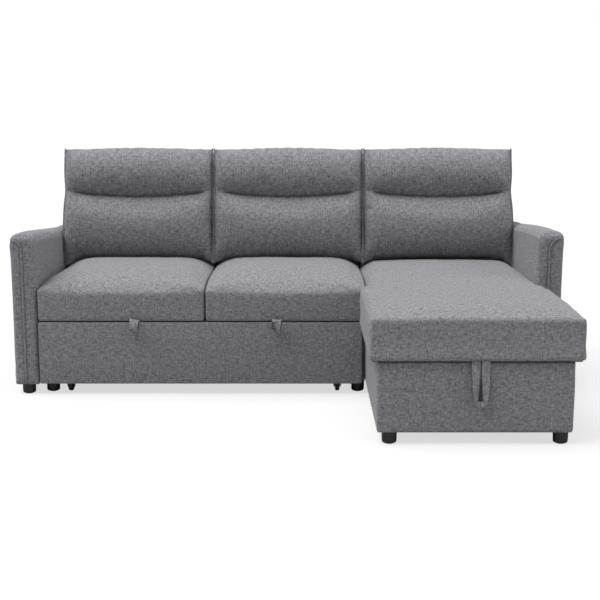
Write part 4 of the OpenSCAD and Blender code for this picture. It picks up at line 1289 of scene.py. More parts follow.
@dataclass
class Arm:
    """A padded arm: a crowned top that falls to the rear, and a flanged seam at its outer edge."""

    side: Side
    # Height of the top at distances from the front
    tops: tuple[Pair, ...]
    deep: float = 0.850
    thick: float = 0.093
    # Half of the clear width between the arms
    inner: float = 0.954
    base: float = 0.037
    seam_in: float = 0.042
    shoulder: float = 0.027
    corner: float = 0.009
    # Radii: the corner between front and top, the front's outer and inner edge, and the edges along
    # the top and at the foot
    front_top_rim: float = 0.036
    rims: Pair = (0.016, 0.026)
    over_rim: float = 0.006
    foot_rim: float = 0.007
    flare: float = 0.006
    # Height and depth of the seam's ridge, and how far the painted shade beside it reaches
    ridge: Pair = (0.0088, 0.0056)
    needle: float = 0.0064
    pitch: float = 0.014
    cap: float = 0.005
    layers: tuple[float, ...] = (0, 0.004, 0.009, 0.015, 0.022, 0.032, 0.042, 0.052, 0.063, 0.071, 0.078,
                                 0.084, 0.089, 0.093)

    @property
    def front_top(self) -> float:
        """Height of the top at the front."""
        return self.tops[0][1]

    def top_at(self, run: Array) -> Array:
        """Height of the top at distances from the front."""
        return smooth_curve(self.tops, run)

    def build(self) -> Piece:
        """Builds the arm and its flange and returns the arm."""
        name = self.side.name.lower()
        way = self.side.value
        a = edge_lines(0, self.deep, self.pitch, NEAR)
        b = edge_lines(self.base, self.front_top, self.pitch, NEAR)
        c = np.array(self.layers)
        block = Block(f"{name}_arm_fabric", (a, b, c))
        depth, na, nb = round_plan(block, self.corner)
        # The front's top edge is rounder than its foot
        high = clamp((block.b - b[0]) / 0.06)
        rise = b[-1] - block.b
        p, q = self.front_top_rim - block.a, self.front_top_rim - rise
        over = fade(clamp(0.5 - (q - p) / 0.06), 1.0)
        for top, full in zip((False, True), self.rims):
            rim = (full + (self.over_rim - full) * over) * high + self.foot_rim * (1 - high)
            round_rim(block, depth, na, nb, rim, top)
        inward, down = round_off(p, q)
        block.places[:, 0] += inward
        block.places[:, 1] -= down
        through = clamp(block.c / self.thick)
        t = np.clip((block.places[:, 1] - self.base) / (self.front_top - self.base), 0, 1.2)
        top_here = self.top_at(np.clip(block.places[:, 0], 0, self.deep))
        block.places[:, 1] = self.base + t * (top_here - self.base)
        fall = 1 - np.sqrt(clamp(1 - np.abs(2 * through - 1) ** 2.3))
        block.places[:, 1] -= self.shoulder * fall * fade(rise, 0.10)
        block.places[:, 0] -= np.where(block.a < ON, 0.003 * np.sin(through * math.pi) * high, 0)
        sheet = (block.c > c[-1] - ON) | (block.c < ON)
        bulge = 0.0015 * (1 - (2 * t - 1) ** 2) + 0.0010 * ripple(block.a, block.b, 0.21, 0.4 + way)
        block.places[:, 2] += np.where(sheet, np.sign(through - 0.5) * bulge * fade(0.05 - depth, 0.05), 0)
        block.places[:, 2] -= self.flare * clamp(t) ** 1.5 * (1 - through)
        home = Frame((-self.inner - self.thick, FRONT, 0), (0, 1, 0), (0, 0, 1), (1, 0, 0))
        piece = block.settle(home)
        held = (block.b < self.base + 0.03) | (self.deep - block.a < 0.02) | (block.c > c[-1] - 0.001)
        swell(piece, held, self.cap, pressure=2.0, shrink=0.0)
        if way > 0:
            move_points(piece, points(piece) * np.array([-1, 1, 1]))
            mend(piece)
        refine(piece)
        clothe(piece, "sofa", [f"{name}_arm_cover"])
        self._flange(piece, name, way)
        return piece

    def _flange(self, arm: Piece, name: str, way: int) -> Piece:
        """Sews a ridge up the arm's front and back along its outer top edge."""
        outer = self.inner + self.thick
        r = self.seam_in - 0.005
        bend = self.front_top - 0.030 - r
        rise = np.linspace(self.base + 0.004, bend, 60)
        turn = np.linspace(0, math.pi / 2, 14)[1:]
        x = np.concatenate([np.full(60, outer - self.seam_in), outer - self.seam_in + r * (1 - np.cos(turn))])
        z = np.concatenate([rise, bend + r * np.sin(turn)])
        origins = np.stack([way * x, np.full(len(x), FRONT - 0.2), z], 1)
        front, normals = on_surface(arm, origins, (0, 1, 0))
        back = np.linspace(0.02, self.deep - 0.03, 60)
        starts = np.stack([np.full(60, way * (outer + 0.2)), FRONT + back, self.top_at(back) - 0.030], 1)
        edge, edge_normals = on_surface(arm, starts, (-way, 0, 0))
        path = np.vstack([front, edge])
        out = np.vstack([normals, edge_normals])
        for _ in range(3):
            out[1:-1] = (out[:-2] + out[1:-1] * 2 + out[2:]) / 4
            path[56:-1] = (path[55:-2] + path[56:-1] * 2 + path[57:]) / 4
        along = np.gradient(path, axis=0)
        across = np.cross(out, along)
        # Painted shade along both sides of the ridge
        self._paint_ridge_shade(arm, path)
        piece = swept(f"{name}_arm_flange", path + out * 0.0006, band_section(*self.ridge), across)
        soften(piece, 50)
        return clothe(piece, "sofa")

    def _paint_ridge_shade(self, arm: Piece, path: Array) -> None:
        """Paints shade into the cloth along both sides of the ridge, where the seam folds in."""
        count = len(path) * 6
        tree = KDTree(count)
        steps = np.linspace(0, len(path) - 1, count)
        dense = np.stack([np.interp(steps, np.arange(len(path)), path[:, k]) for k in range(3)], 1)
        for number, place in enumerate(dense):
            tree.insert(place, number)
        tree.balance()
        away = np.array([tree.find(p)[2] for p in points(arm)])
        paint_shade(arm, np.exp(-(away / self.needle) ** 2))


@dataclass
class ChaiseLid:
    """The T-shaped seat of the chaise on its hinged board."""

    wide: Pair = (0.275, 0.9845)
    neck: Pair = (0.307, 0.951)
    front: float = -0.668
    step: float = -0.060
    rear: float = 0.542
    base: float = 0.289
    board: float = 0.2820
    edge_h: float = 0.148
    crown: float = 0.020
    corner: float = 0.015
    rim: float = 0.020
    # Radius of the rear's top edge and of the underside's edges
    rear_rim: float = 0.008
    foot_rim: float = 0.006
    shoulders: tuple[Pair, Pair] = ((0.020, 0.060), (0.012, 0.060))
    # How far the walls swell, and how much of the right wing is left beside the neck
    swelling: float = 0.0045
    wing_left: float = 0.1
    wing_reach: float = 0.120
    uneven: Pair = (0.0012, 0.21)
    pitch: float = 0.0135
    cap: float = 0.004
    near: tuple[float, ...] = (0.004, 0.010, 0.0125, 0.0137, 0.0142, 0.022)
    levels: tuple[float, ...] = (0, 0.006, 0.018, 0.040, 0.066, 0.092, 0.112, 0.126, 0.134, 0.141, 0.148)

    def build(self) -> Piece:
        """Builds the cover and its core and returns the cover."""
        near = self.near
        a = np.concatenate([
            self.wide[0] + np.array([0, *near, 0.030]),
            edge_lines(*self.neck, self.pitch, near),
            self.wide[1] - np.array([*near[-2::-1], 0])])
        f, s, r = (FRONT + y for y in (self.front, self.step, self.rear))
        b = np.concatenate([edge_lines(f, s, self.pitch, near), edge_lines(s, r, self.pitch, near)[1:]])
        c = self.base + np.array(self.levels)
        block = Block("lid_fabric", (a, b, c),
                      lambda x, y: (y > s) & ((x < self.neck[0]) | (x > self.neck[1])))
        depth, na, nb = round_plan(block, self.corner, [Rect(*self.wide, f, s), Rect(*self.neck, f, r)])
        to_rear, to_front = r - block.b, block.b - f
        rims = np.where(nb > 0.7, self.rear_rim, np.where(nb < -0.3, 0.65 * self.rim, self.rim))
        round_rim(block, depth, na, nb, rims, True)
        round_rim(block, depth, na, nb, self.foot_rim, False)
        mid = (self.wide[0] + self.wide[1]) / 2
        u = (block.a - mid) / (self.wide[1] - mid)
        v = (block.b - (f + r) / 2) / ((r - f) / 2)
        up = clamp((block.c - c[0]) / self.edge_h)
        along = np.where(v < 0, 1 - 0.9 * np.abs(v) ** 6, 1 - 0.5 * np.abs(v) ** 5)
        rise = self.crown * (1 - np.abs(u) ** 2.6) * along
        rise -= 0.003 * fade(depth, 0.055) * clamp(to_rear / 0.08) + 0.005 * fade(to_front, 0.13)
        for inside, (drop, reach) in zip((block.a - self.neck[0], self.neck[1] - block.a), self.shoulders):
            rise -= drop * fade(np.maximum(inside, 0), reach) * clamp((block.b - s) / (r - s)) ** 1.2
        height, length = self.uneven
        rise += height * ripple(block.a, block.b, length, 0.9)
        block.places[:, 2] += rise * up ** 2
        # The side walls swell between their seams
        out = np.where(depth < ON, self.swelling * np.sin(up ** 1.6 * math.pi), 0) * (to_front > 0.02)
        block.places[:, 0] += na * out
        # The cover is turned in under its edge, and its underside closes round the board
        under = block.c < c[0] + ON
        turned = under & (depth > 0.0120) & (depth < 0.0139)
        block.places[turned, 2] = self.board
        block.places[under & (depth > 0.0139), 2] += 0.0115
        # The right wing tapers into the neck
        wing = (block.a > self.neck[1]) & (block.b <= s + ON)
        off_foot = clamp((block.c - c[0] - 0.010) / 0.05)
        share = 1 - (1 - self.wing_left) * fade(s - block.b, self.wing_reach) * off_foot
        block.places[:, 0] = np.where(wing, self.neck[1] + (block.places[:, 0] - self.neck[1]) * share,
                                      block.places[:, 0])
        # Painted shade: the turned-in cloth and the underside beyond it are darkened fully, as they lie in
        # shadow under the lid's edge
        paint_shade(block.piece, np.where((block.c < c[0] + 0.001) & (depth > 0.0105), 1.0, 0))
        piece = block.settle(Frame())
        held = (block.c < c[0] + 0.030) | (to_rear < 0.012)
        swell(piece, held, self.cap)
        refine(piece)
        clothe(piece, "chaise_lid", ["lid_cushion"])
        LidCore("lid_core", "lid_foam", "chaise_lid").build()
        return piece


@dataclass
class ChaiseSkirt:
    """The padded cloth round the chaise box's left, front and right."""

    x: Pair = (0.304, 0.952)
    front: float = -0.652
    rear: float = 0.846
    z: Pair = (0.041, 0.2862)
    thick: float = 0.0076
    corner: float = 0.008
    # A point inside the box, and the height from which the lid's overhang shades the cloth
    middle: Triple = (0.626, 0.1, 0.16)
    shade_z: float = 0.2762

    def build(self) -> Piece:
        """Wraps a sheet round the box and gives it its thickness."""
        r = self.corner
        turn = np.linspace(0, math.pi / 2, 6)
        left = [(self.x[0], y) for y in np.linspace(FRONT + self.rear, FRONT + self.front + r, 60)[:-1]]
        first = [(self.x[0] + r - r * math.cos(t), FRONT + self.front + r - r * math.sin(t)) for t in turn]
        face = [(x, FRONT + self.front) for x in np.linspace(self.x[0] + r, self.x[1] - r, 34)[1:-1]]
        last = [(self.x[0] + self.x[1] - x, y) for x, y in (left + first)[::-1]]
        plan = np.array(left + first + face + last)
        levels = edge_lines(self.z[0], self.z[1], 0.03, (0.003, 0.006, 0.010, 0.018))
        piece, i, j = grid_sheet("chaise_skirt_fabric", len(plan), len(levels))
        run = running(plan)
        along = np.gradient(plan, axis=0)
        out = np.stack([along[:, 1], -along[:, 0]], 1)
        out /= np.linalg.norm(out, axis=1)[:, None]
        t = (levels[j] - self.z[0]) / (self.z[1] - self.z[0])
        swing = 0.0016 * np.sin(clamp(t) * math.pi) + 0.0008 * ripple(run[i], levels[j], 0.17, 2.3)
        edge = np.minimum(levels[j] - self.z[0], self.z[1] - levels[j])
        swing = swing * clamp(edge / 0.02) - 0.0030 * fade(edge, 0.009)
        flat = plan[i] + out[i] * swing[:, None]
        corners, _ = corner_points(piece)
        lay_cloth_map(piece, np.stack([run[i[corners]], levels[j[corners]]], 1))
        move_points(piece, np.column_stack([flat, levels[j]]))
        mend(piece)
        facing = (face_rows(piece, "normal") * (face_rows(piece, "center") - self.middle)).sum()
        add_modifier(piece, "SOLIDIFY", thickness=self.thick, offset=-1.0 if facing > 0 else 1.0)
        mend(piece)
        # The shade under the lid's overhang
        paint_shade(piece, np.clip((points(piece)[:, 2] - self.shade_z) / 0.0030, 0, 0.95))
        refine(piece)
        return clothe(piece, "sofa", ["chaise_skirt"])


@dataclass
class PlainPad:
    """A padded block that fills the box of its CAD solid, with soft edges and a slight crown."""

    name: str
    node: str
    body: str
    finish: Finish
    slot: Slot
    corner: float = 0.012
    rim: float = 0.014
    crown: float = 0.004
    pitch: float = 0.02
    lean_rear: bool = False
    # Distance of the quilted channels with their depth and width, and what is left off the top
    channels: float = 0.0
    channel_depth: float = 0.006
    channel_width: float = 0.009
    trim: float = 0.0
    # Depth of a pad that leans with the back behind it
    leaning_depth: float = 0.0295

    def build(self) -> Piece:
        """Builds the pad."""
        low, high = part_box(self.node)
        top = high.z - self.trim
        near = (0.003, 0.007, 0.012, 0.018, 0.026)
        a, b = edge_lines(low.x, high.x, self.pitch, near), edge_lines(low.y, high.y, self.pitch, near)
        if self.lean_rear:
            b = edge_lines(low.y, low.y + self.leaning_depth, 0.012, near[:3])
        c = edge_lines(low.z, top, 0.02, near[:3])
        block = Block(self.name, (a, b, c))
        depth, na, nb = round_plan(block, self.corner)
        round_rim(block, depth, na, nb, self.rim, True)
        round_rim(block, depth, na, nb, self.rim * 0.5, False)
        u, v = block.centred()
        lift = clamp((block.c - c[0]) / (c[-1] - c[0]))
        block.places[:, 2] += self.crown * (1 - u ** 4) * (1 - v ** 4) * lift ** 2
        if self.channels:
            for along, start in ((block.a, a[0]), (block.b, b[0])):
                off = np.abs((along - start + self.channels / 2) % self.channels - self.channels / 2)
                off = np.where(along - start < self.channels / 2, 1, off)
                groove = self.channel_depth * np.exp(-(off / self.channel_width) ** 2)
                block.places[:, 2] -= groove * lift ** 6
        if self.lean_rear:
            share = (block.b - b[0]) / (b[-1] - b[0])
            block.places[:, 1] += share * (block.c - c[0]) * math.tan(LEAN)
        piece = block.settle(Frame())
        refine(piece)
        return dress(piece, self.finish, self.body, [self.node])


@dataclass
class BedFront:
    """The padded front of the pull-out bed, closed round its board."""

    x: Pair = (-0.952, 0.290)
    y: Pair = (-0.002, 0.0275)
    z: Pair = (0.041, 0.283)
    corner: float = 0.007
    rim: float = 0.006
    # How far the middle swells, and how far in from its edges it is full
    swelling: float = 0.0030
    reach: float = 0.07
    pitch: float = 0.016

    def build(self) -> Piece:
        """Builds the panel as a slightly swollen sheet with eased edges."""
        near = (0.003, 0.007, 0.012, 0.019, 0.028)
        a, b = (edge_lines(*ends, self.pitch, near) for ends in (self.x, self.z))
        c = np.array([0, 0.006, 0.014, 0.020, 0.024, 0.027, 0.0295])
        block = Block("bed_front_fabric", (a, b, c))
        depth, na, nb = round_plan(block, self.corner)
        round_rim(block, depth, na, nb, self.rim, True)
        swelling = self.swelling * (1 - fade(depth, self.reach))
        swelling += 0.0008 * ripple(block.a, block.b, 0.23, 1.7)
        block.places[:, 2] += swelling * clamp(block.c / c[-1]) ** 3
        piece = block.settle(Frame((0, FRONT + self.y[1], 0), (1, 0, 0), (0, 0, 1), (0, -1, 0)))
        refine(piece)
        return clothe(piece, "pull_out_bed", ["bed_front_cover"])


@dataclass
class EdgeCloth:
    """Cloth folded round the front end of a seat's side board."""

    name: str
    x: Pair
    front: float = 0.034
    reach: float = 0.060
    z: Pair = (0.045, 0.284)
    thick: float = 0.0010

    def build(self) -> Piece:
        """Sweeps the cloth's own section up the board's end."""
        y, t = FRONT + self.front, self.thick
        # Half of each outline from the board's end to its middle: (off its face, along the board)
        out = [(t * 0.6, self.reach), (t * 0.6, 0.001), (-0.001, -t)]
        inner = [(0.0001, self.reach), (0.0001, -0.0001)]
        section = np.array([(self.x[0] - off, run) for off, run in out]
                           + [(self.x[1] + off, run) for off, run in out[::-1]]
                           + [(self.x[1] + off, run) for off, run in inner]
                           + [(self.x[0] - off, run) for off, run in inner[::-1]])
        path = np.array([(0.0, y, z) for z in np.linspace(self.z[0] + 0.001, self.z[1] - 0.001, 5)])
        piece = swept(self.name, path, section, np.array((1, 0, 0)))
        soften(piece, 30)
        return clothe(piece, "sofa")


@dataclass
class BackShell:
    """The taut cover over a back frame's ends, top and rear, down over the box."""

    name: str
    node: str
    x: Pair
    rear: float = 0.850
    foot: Pair = (0.606, 0.284)
    top: float = 0.884
    base: float = 0.045
    skin: float = 0.0034
    corner: float = 0.008
    # The rear edge's ease, and how far the cloth sags in
    ease: float = 0.006
    sag: float = 0.0015
    pitch: float = 0.03
    piping_r: float = 0.0022
    # Middle of the gap between the two sections, and how far each sheet reaches towards it
    meeting: float = 0.318
    lap: float = 0.0019

    def build(self) -> Piece:
        """Builds the cover from one block without its front and underside, and its piping."""
        near = (0.003, 0.008, 0.015)
        a = edge_lines(*self.x, self.pitch, near)
        b = edge_lines(self.foot[1], self.top, self.pitch, near)
        c = edge_lines(0.0, 1.0, 0.2, (0.02, 0.05, 0.1))
        block = Block(self.name, (a, b, c))
        depth, _, _ = round_plan(block, self.corner)
        # Only the top corners are round: the rear sheet runs on below
        low = block.b < self.foot[1] + 0.012
        block.places[low, 0], block.places[low, 1] = block.a[low], block.b[low]
        lean = FRONT + self.foot[0] + (block.places[:, 1] - self.foot[1]) * math.tan(LEAN) - 0.0010
        rear = FRONT + self.rear
        sheet = block.c > 1 - ON
        ease = self.ease * fade(depth, self.corner) * sheet
        sag = self.sag * ripple(block.a, block.b, 0.4, 3.1) * clamp(depth / 0.05)
        y = lean + (rear - lean) * block.c - ease - np.where(sheet, np.abs(sag), 0)
        piece = block.piece
        move_points(piece, np.column_stack([block.places[:, 0], y, block.places[:, 1]]))
        mend(piece)
        pick(piece, "polygons", face_rows(piece, "center")[:, 2] < self.foot[1] + 1e-4)
        bpy.ops.mesh.delete(type="FACE")
        clear()
        co = points(piece)
        ends = edge_ends(piece)
        foot_edge = ((np.abs(co[ends][:, :, 2] - self.foot[1]) < 1e-4).all(1)
                     & (co[ends][:, :, 1] > rear - 0.012).all(1))
        pick(piece, "edges", foot_edge)
        steps = 6
        for _ in range(steps):
            down = (0, 0, (self.base - self.foot[1]) / steps)
            bpy.ops.mesh.extrude_edges_move(TRANSFORM_OT_translate={"value": down})
        clear()
        # Below the frames the two rear sheets meet over the chaise wall's edge, full to their ends
        co = points(piece)
        seam = min(self.x, key=abs)
        below = (co[:, 2] < self.foot[1] + 1e-4) & (co[:, 1] > rear - 0.012)
        reach = np.abs(co[:, 0] - seam)
        co[below & (reach < 0.010), 1] = co[below, 1].max()
        co[below & (reach < 1e-4), 0] += math.copysign(self.lap, self.meeting - seam)
        move_points(piece, co)
        self._map(piece)
        add_modifier(piece, "SOLIDIFY", thickness=self.skin, offset=-1.0)
        # In front only a thin lining lies on the frame
        co = points(piece)
        behind = co[:, 1] - (FRONT + self.foot[0] + (co[:, 2] - self.foot[1]) * math.tan(LEAN))
        inside = (behind > 0) & (behind < self.skin) & (co[:, 2] > self.foot[1] + 0.002)
        co[inside, 1] -= behind[inside] + 0.0002
        move_points(piece, co)
        add_modifier(piece, "BEVEL", width=0.0008, segments=1, limit_method="ANGLE", angle_limit=1.0)
        soften(piece, 50)
        clothe(piece, "sofa", [self.node])
        self._piping()
        return piece

    def _map(self, piece: Piece) -> None:
        """Lays the cloth map by the way that each face looks."""
        corners, faces = corner_points(piece)
        n = np.abs(face_rows(piece, "normal"))[faces]
        p = points(piece)[corners]
        u = np.where(n[:, 0] > 0.7, p[:, 1], p[:, 0])
        v = np.where(n[:, 2] > 0.7, p[:, 1] + self.top, p[:, 2])
        lay_cloth_map(piece, np.stack([u, v], 1))

    def _piping(self) -> Piece:
        """Adds a thin piping along the rear's top and ends."""
        rear = FRONT + self.rear - 0.0045
        x0, x1 = self.x[0] + 0.0012, self.x[1] - 0.0012
        up = np.linspace(self.base + 0.004, self.top - 0.010, 40)
        across = np.linspace(x0 + 0.008, x1 - 0.008, 40)
        top = self.top - 0.0012
        path = np.vstack([
            [(x0, rear, z) for z in up], [(x, rear, top) for x in across], [(x1, rear, z) for z in up[::-1]]])
        r = self.piping_r
        ring = [(r * math.cos(t), r * math.sin(t)) for t in np.linspace(0, 2 * math.pi, 9)[:-1]]
        piece = swept(self.name.replace("shell", "piping"), path, np.array(ring), np.array((0, 1, 0)))
        soften(piece, 60)
        return clothe(piece, "sofa")


# ---------------------------------------------------------------- bands, loops and webbing


@dataclass
class PullLoop:
    """The flat band that hangs from the lid's front edge in a narrow U."""

    x: float = 0.641
    y: float = -0.6560
    top: float = 0.2885
    bottom: float = 0.1405
    band: float = 0.0292
    thick: float = 0.0055
    gap: float = 0.0030
    # How far the legs close in as they fall
    closing: float = 0.0042
    twist: float = math.radians(44)

    def build(self) -> Piece:
        """Builds both legs, which turn edgewise as they fall, and the turn at the foot."""
        r = (self.band + self.gap) / 2
        foot = self.bottom + r * 1.02
        down = np.linspace(self.top, foot, 34)
        turn = np.linspace(math.pi, 2 * math.pi, 19)[1:-1]
        share = (self.top - down) / (self.top - foot)
        lean_in = self.closing * share ** 1.6
        left = np.stack([self.x - r + lean_in, down], 1)
        rb = r - self.closing
        bend = np.stack([self.x + rb * np.cos(turn), foot + rb * np.sin(turn)], 1)
        plan = np.vstack([left, bend, [(2 * self.x - x, z) for x, z in left[::-1]]])
        fall = clamp((self.top - plan[:, 1]) / (self.top - foot))
        angle = self.twist * fall ** 1.3
        side = np.sign(plan[:, 0] - self.x + 1e-9)
        # The legs' inner edges turn to the box, and the foot rolls over
        across = np.stack([np.cos(angle), -side * np.sin(angle), np.zeros(len(plan))], 1)
        middle = slice(len(left) - 1, len(left) + len(turn) + 1)
        s = np.linspace(-1, 1, len(turn) + 2)
        across[middle, 1] = -s * math.sin(self.twist)
        across[middle, 0] = math.cos(self.twist)
        deep = self.band / 2 * np.sin(angle)
        y = FRONT + self.y - 0.0022 - deep - 0.0025 * np.sin(fall * math.pi)
        path = np.column_stack([plan[:, 0], y, plan[:, 1]])
        piece = swept("lid_loop_band", path, band_section(self.band, self.thick, 3, 9), across)
        # Between the legs a dark slit, widening towards the foot, is painted as shade on the band
        place = points(piece)
        down = (self.top - place[:, 2]) / (self.top - foot)
        inside = 0.0075 * clamp(down) ** 1.4 + 0.0015
        dark = np.clip((inside - np.abs(place[:, 0] - self.x)) / 0.002, 0, 0.95)
        paint_shade(piece, dark * clamp((1.06 - down) / 0.04))
        soften(piece, 50)
        return clothe(piece, "chaise_lid", ["lid_pull_loop"])


@dataclass
class PullTabs:
    """Two small cloth loops under the top seam of the bed's front."""

    places: Pair = (-0.578, -0.036)
    width: float = 0.039
    tall: float = 0.039
    deep: float = 0.024
    thick: float = 0.0036
    top: float = 0.2960
    twist: Pair = (0.10, 0.75)
    slant: Pair = (0.12, 0.10)
    turned: Pair = (0.55, 0.45)

    def build(self) -> list[Piece]:
        """Builds each loop as a band that goes round and back to the seam."""
        made = []
        rows = zip(("left", "right"), self.places, self.twist, self.slant, self.turned)
        for side, x, twist, slant, turned in rows:
            r, q = self.deep / 2, self.tall / 2
            turn = np.linspace(math.radians(72), math.radians(432), 41)
            y = -0.0050 - r + r * np.cos(turn)
            z = self.top - q + q * np.sin(turn)
            away = (self.top - z) / self.tall
            path = np.stack([x - slant * (self.top - z), FRONT + y - 0.009, z], 1)
            forward = -(y + 0.005) / self.deep
            across = np.stack([np.ones(41), -twist * (forward - 0.3) - turned,
                               -twist * 0.9 * (away - 0.2) - 0.12], 1)
            piece = swept(f"{side}_tab_loop", path, band_section(self.width, self.thick), across)
            soften(piece, 50)
            # The loop's inside is painted dark, as shade
            place = points(piece)
            slide = (place[:, 0] - x) * turned
            within = np.hypot((place[:, 1] + slide - FRONT + 0.014 + r) / r, (place[:, 2] - self.top + q) / q)
            paint_shade(piece, np.where(within < 0.97, 0.9, 0.0))
            made.append(clothe(piece, "pull_out_bed", ["bed_pull_tabs"]))
        return made


@dataclass
class SeatWebbing:
    """Elastic bands woven over and under one another below the seats."""

    width: float = 0.060
    thick: float = 0.0013
    # Distance of the bands in their own widths, and how far they pass over and under
    spacing: float = 2.3
    weave_h: float = 0.0008

    def build(self) -> Piece:
        """Builds the bands of both directions and joins them."""
        low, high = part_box("seat_webbing")
        x0, x1, y0, y1 = low.x, high.x, low.y, high.y
        mid = (low.z + high.z) / 2
        xs, ys = self._spread(x0, x1), self._spread(y0, y1)
        parts = []
        for places, crossed, ends, is_x in ((xs, ys, (y0, y1), True), (ys, xs, (x0, x1), False)):
            for i, place in enumerate(places):
                run = np.linspace(ends[0] + 0.001, ends[1] - 0.001, 12 * len(crossed))
                wave = np.zeros_like(run)
                for k, other in enumerate(crossed):
                    sign = 1 if (i + k + is_x) % 2 else -1
                    wave += sign * self.weave_h * fade(np.abs(run - other), 0.07)
                still = np.full_like(run, place)
                path = np.stack([*((still, run) if is_x else (run, still)), mid + wave], 1)
                side = np.array((is_x, not is_x, 0), float)
                parts.append(swept("band", path, band_section(self.width, self.thick, 2), side))
        piece = joined("woven_seat_bands", parts)
        soften(piece, 50)
        return dress(piece, WovenBand(), "sofa", ["seat_webbing"])

    def _spread(self, low: float, high: float) -> Array:
        """Places of the bands' middle lines between two ends."""
        count = int((high - low - self.width) / (self.spacing * self.width))
        return low + self.width / 2 + (high - low - self.width) * np.arange(count + 1) / count


# ---------------------------------------------------------------- feet and carried-over parts


@dataclass
class RoundFeet:
    """Moulded round feet with eased floor edges and a pad beneath, each on its stud."""

    name: str
    node: str
    places: Sequence[Pair]
    top_r: float = 0.026
    floor_r: float = 0.0245
    tall: float = 0.0445
    # Thickness of the pad below, its inset, and the floor edge's ease
    pad: float = 0.002
    inset: float = 0.003
    ease: float = 0.006

    def build(self) -> Piece:
        """Turns one foot and copies it to each place."""
        clear()
        body = self.tall - self.pad
        bpy.ops.mesh.primitive_cone_add(vertices=48, radius1=self.floor_r, radius2=self.top_r, depth=body,
                                        location=(0, 0, self.pad + body / 2), calc_uvs=False)
        foot = bpy.context.object
        bpy.ops.object.transform_apply(location=True)
        co = points(foot)[edge_ends(foot)]
        rim = (co[:, :, 2] < 0.003).all(1)
        pick(foot, "edges", rim)
        bpy.ops.mesh.bevel(offset=self.ease, segments=5, profile=0.5, affect="EDGES")
        clear()
        pick(foot, "polygons", face_rows(foot, "normal")[:, 2] < -0.99)
        bpy.ops.mesh.inset(thickness=self.inset)
        bpy.ops.mesh.extrude_region_move(TRANSFORM_OT_translate={"value": (0, 0, -self.pad)})
        clear()
        parts = []
        for x, y in self.places:
            copy = foot.copy()
            copy.data = foot.data.copy()
            bpy.context.scene.collection.objects.link(copy)
            move_points(copy, points(copy) + np.array([x, FRONT + y, 0]))
            parts.append(copy)
        bpy.data.objects.remove(foot)
        piece = joined(self.name, parts)
        soften(piece, 35)
        return dress(piece, MOULDING, "sofa", [self.node])


@dataclass
class CarriedParts:
    """Finishes of the CAD solids that stay as they are."""

    finishes: tuple[tuple[Finish, str], ...] = (
        (PLYWOOD, "left_arm_core right_arm_core chaise_wall_left chaise_wall_right chaise_wall_front"
                  " chaise_cross_boards chaise_floor lid_board"),
        (PINE_ALONG_Y, "seat_side_left seat_side_right bed_lower_rails bed_upper_rails"),
        (PINE_ALONG_X, "seat_cross_rails seat_rear_board bed_front_board bed_rear_rail bed_slats"),
        (PINE_UPRIGHT, "sofa_back_frame chaise_back_frame"),
        (ZINC, "frame_bolts hinge_brackets hinge_pins hinge_straps gas_spring_feet gas_spring_heads"
               " lift_arms caster_axles"),
        (POLISHED, "left_gas_rod right_gas_rod"),
        (BLACK_STEEL, "left_gas_cylinder right_gas_cylinder caster_forks section_hooks"),
        (NYLON, "bed_glides"),
        (RUBBER, "front_left_wheel front_right_wheel rear_left_wheel rear_right_wheel"))

    def build(self) -> None:
        """Assigns each finish to its nodes' material slots."""
        for finish, names in self.finishes:
            for name in names.split():
                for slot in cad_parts[name].material_slots:
                    slot.material = finish.material()
                log.info("%s: %s", name, finish.name)


# ---------------------------------------------------------------- studio


@dataclass(frozen=True)
class Lamp:
    """A soft distant lamp."""

    name: str
    energy: float
    elevation: float
    azimuth: float
    width: float

    def build(self) -> Piece:
        """Adds the lamp; azimuth 0 lights the front, and -90 the left."""
        data = bpy.data.lights.new(self.name, "SUN")
        data.energy = self.energy
        data.angle = math.radians(self.width)
        lamp = bpy.data.objects.new(self.name, data)
        bpy.context.scene.collection.objects.link(lamp)
        el, az = math.radians(self.elevation), math.radians(self.azimuth)
        towards = Vector((math.sin(az) * math.cos(el), -math.cos(az) * math.cos(el), math.sin(el)))
        lamp.rotation_euler = towards.to_track_quat("Z", "Y").to_euler()
        return lamp


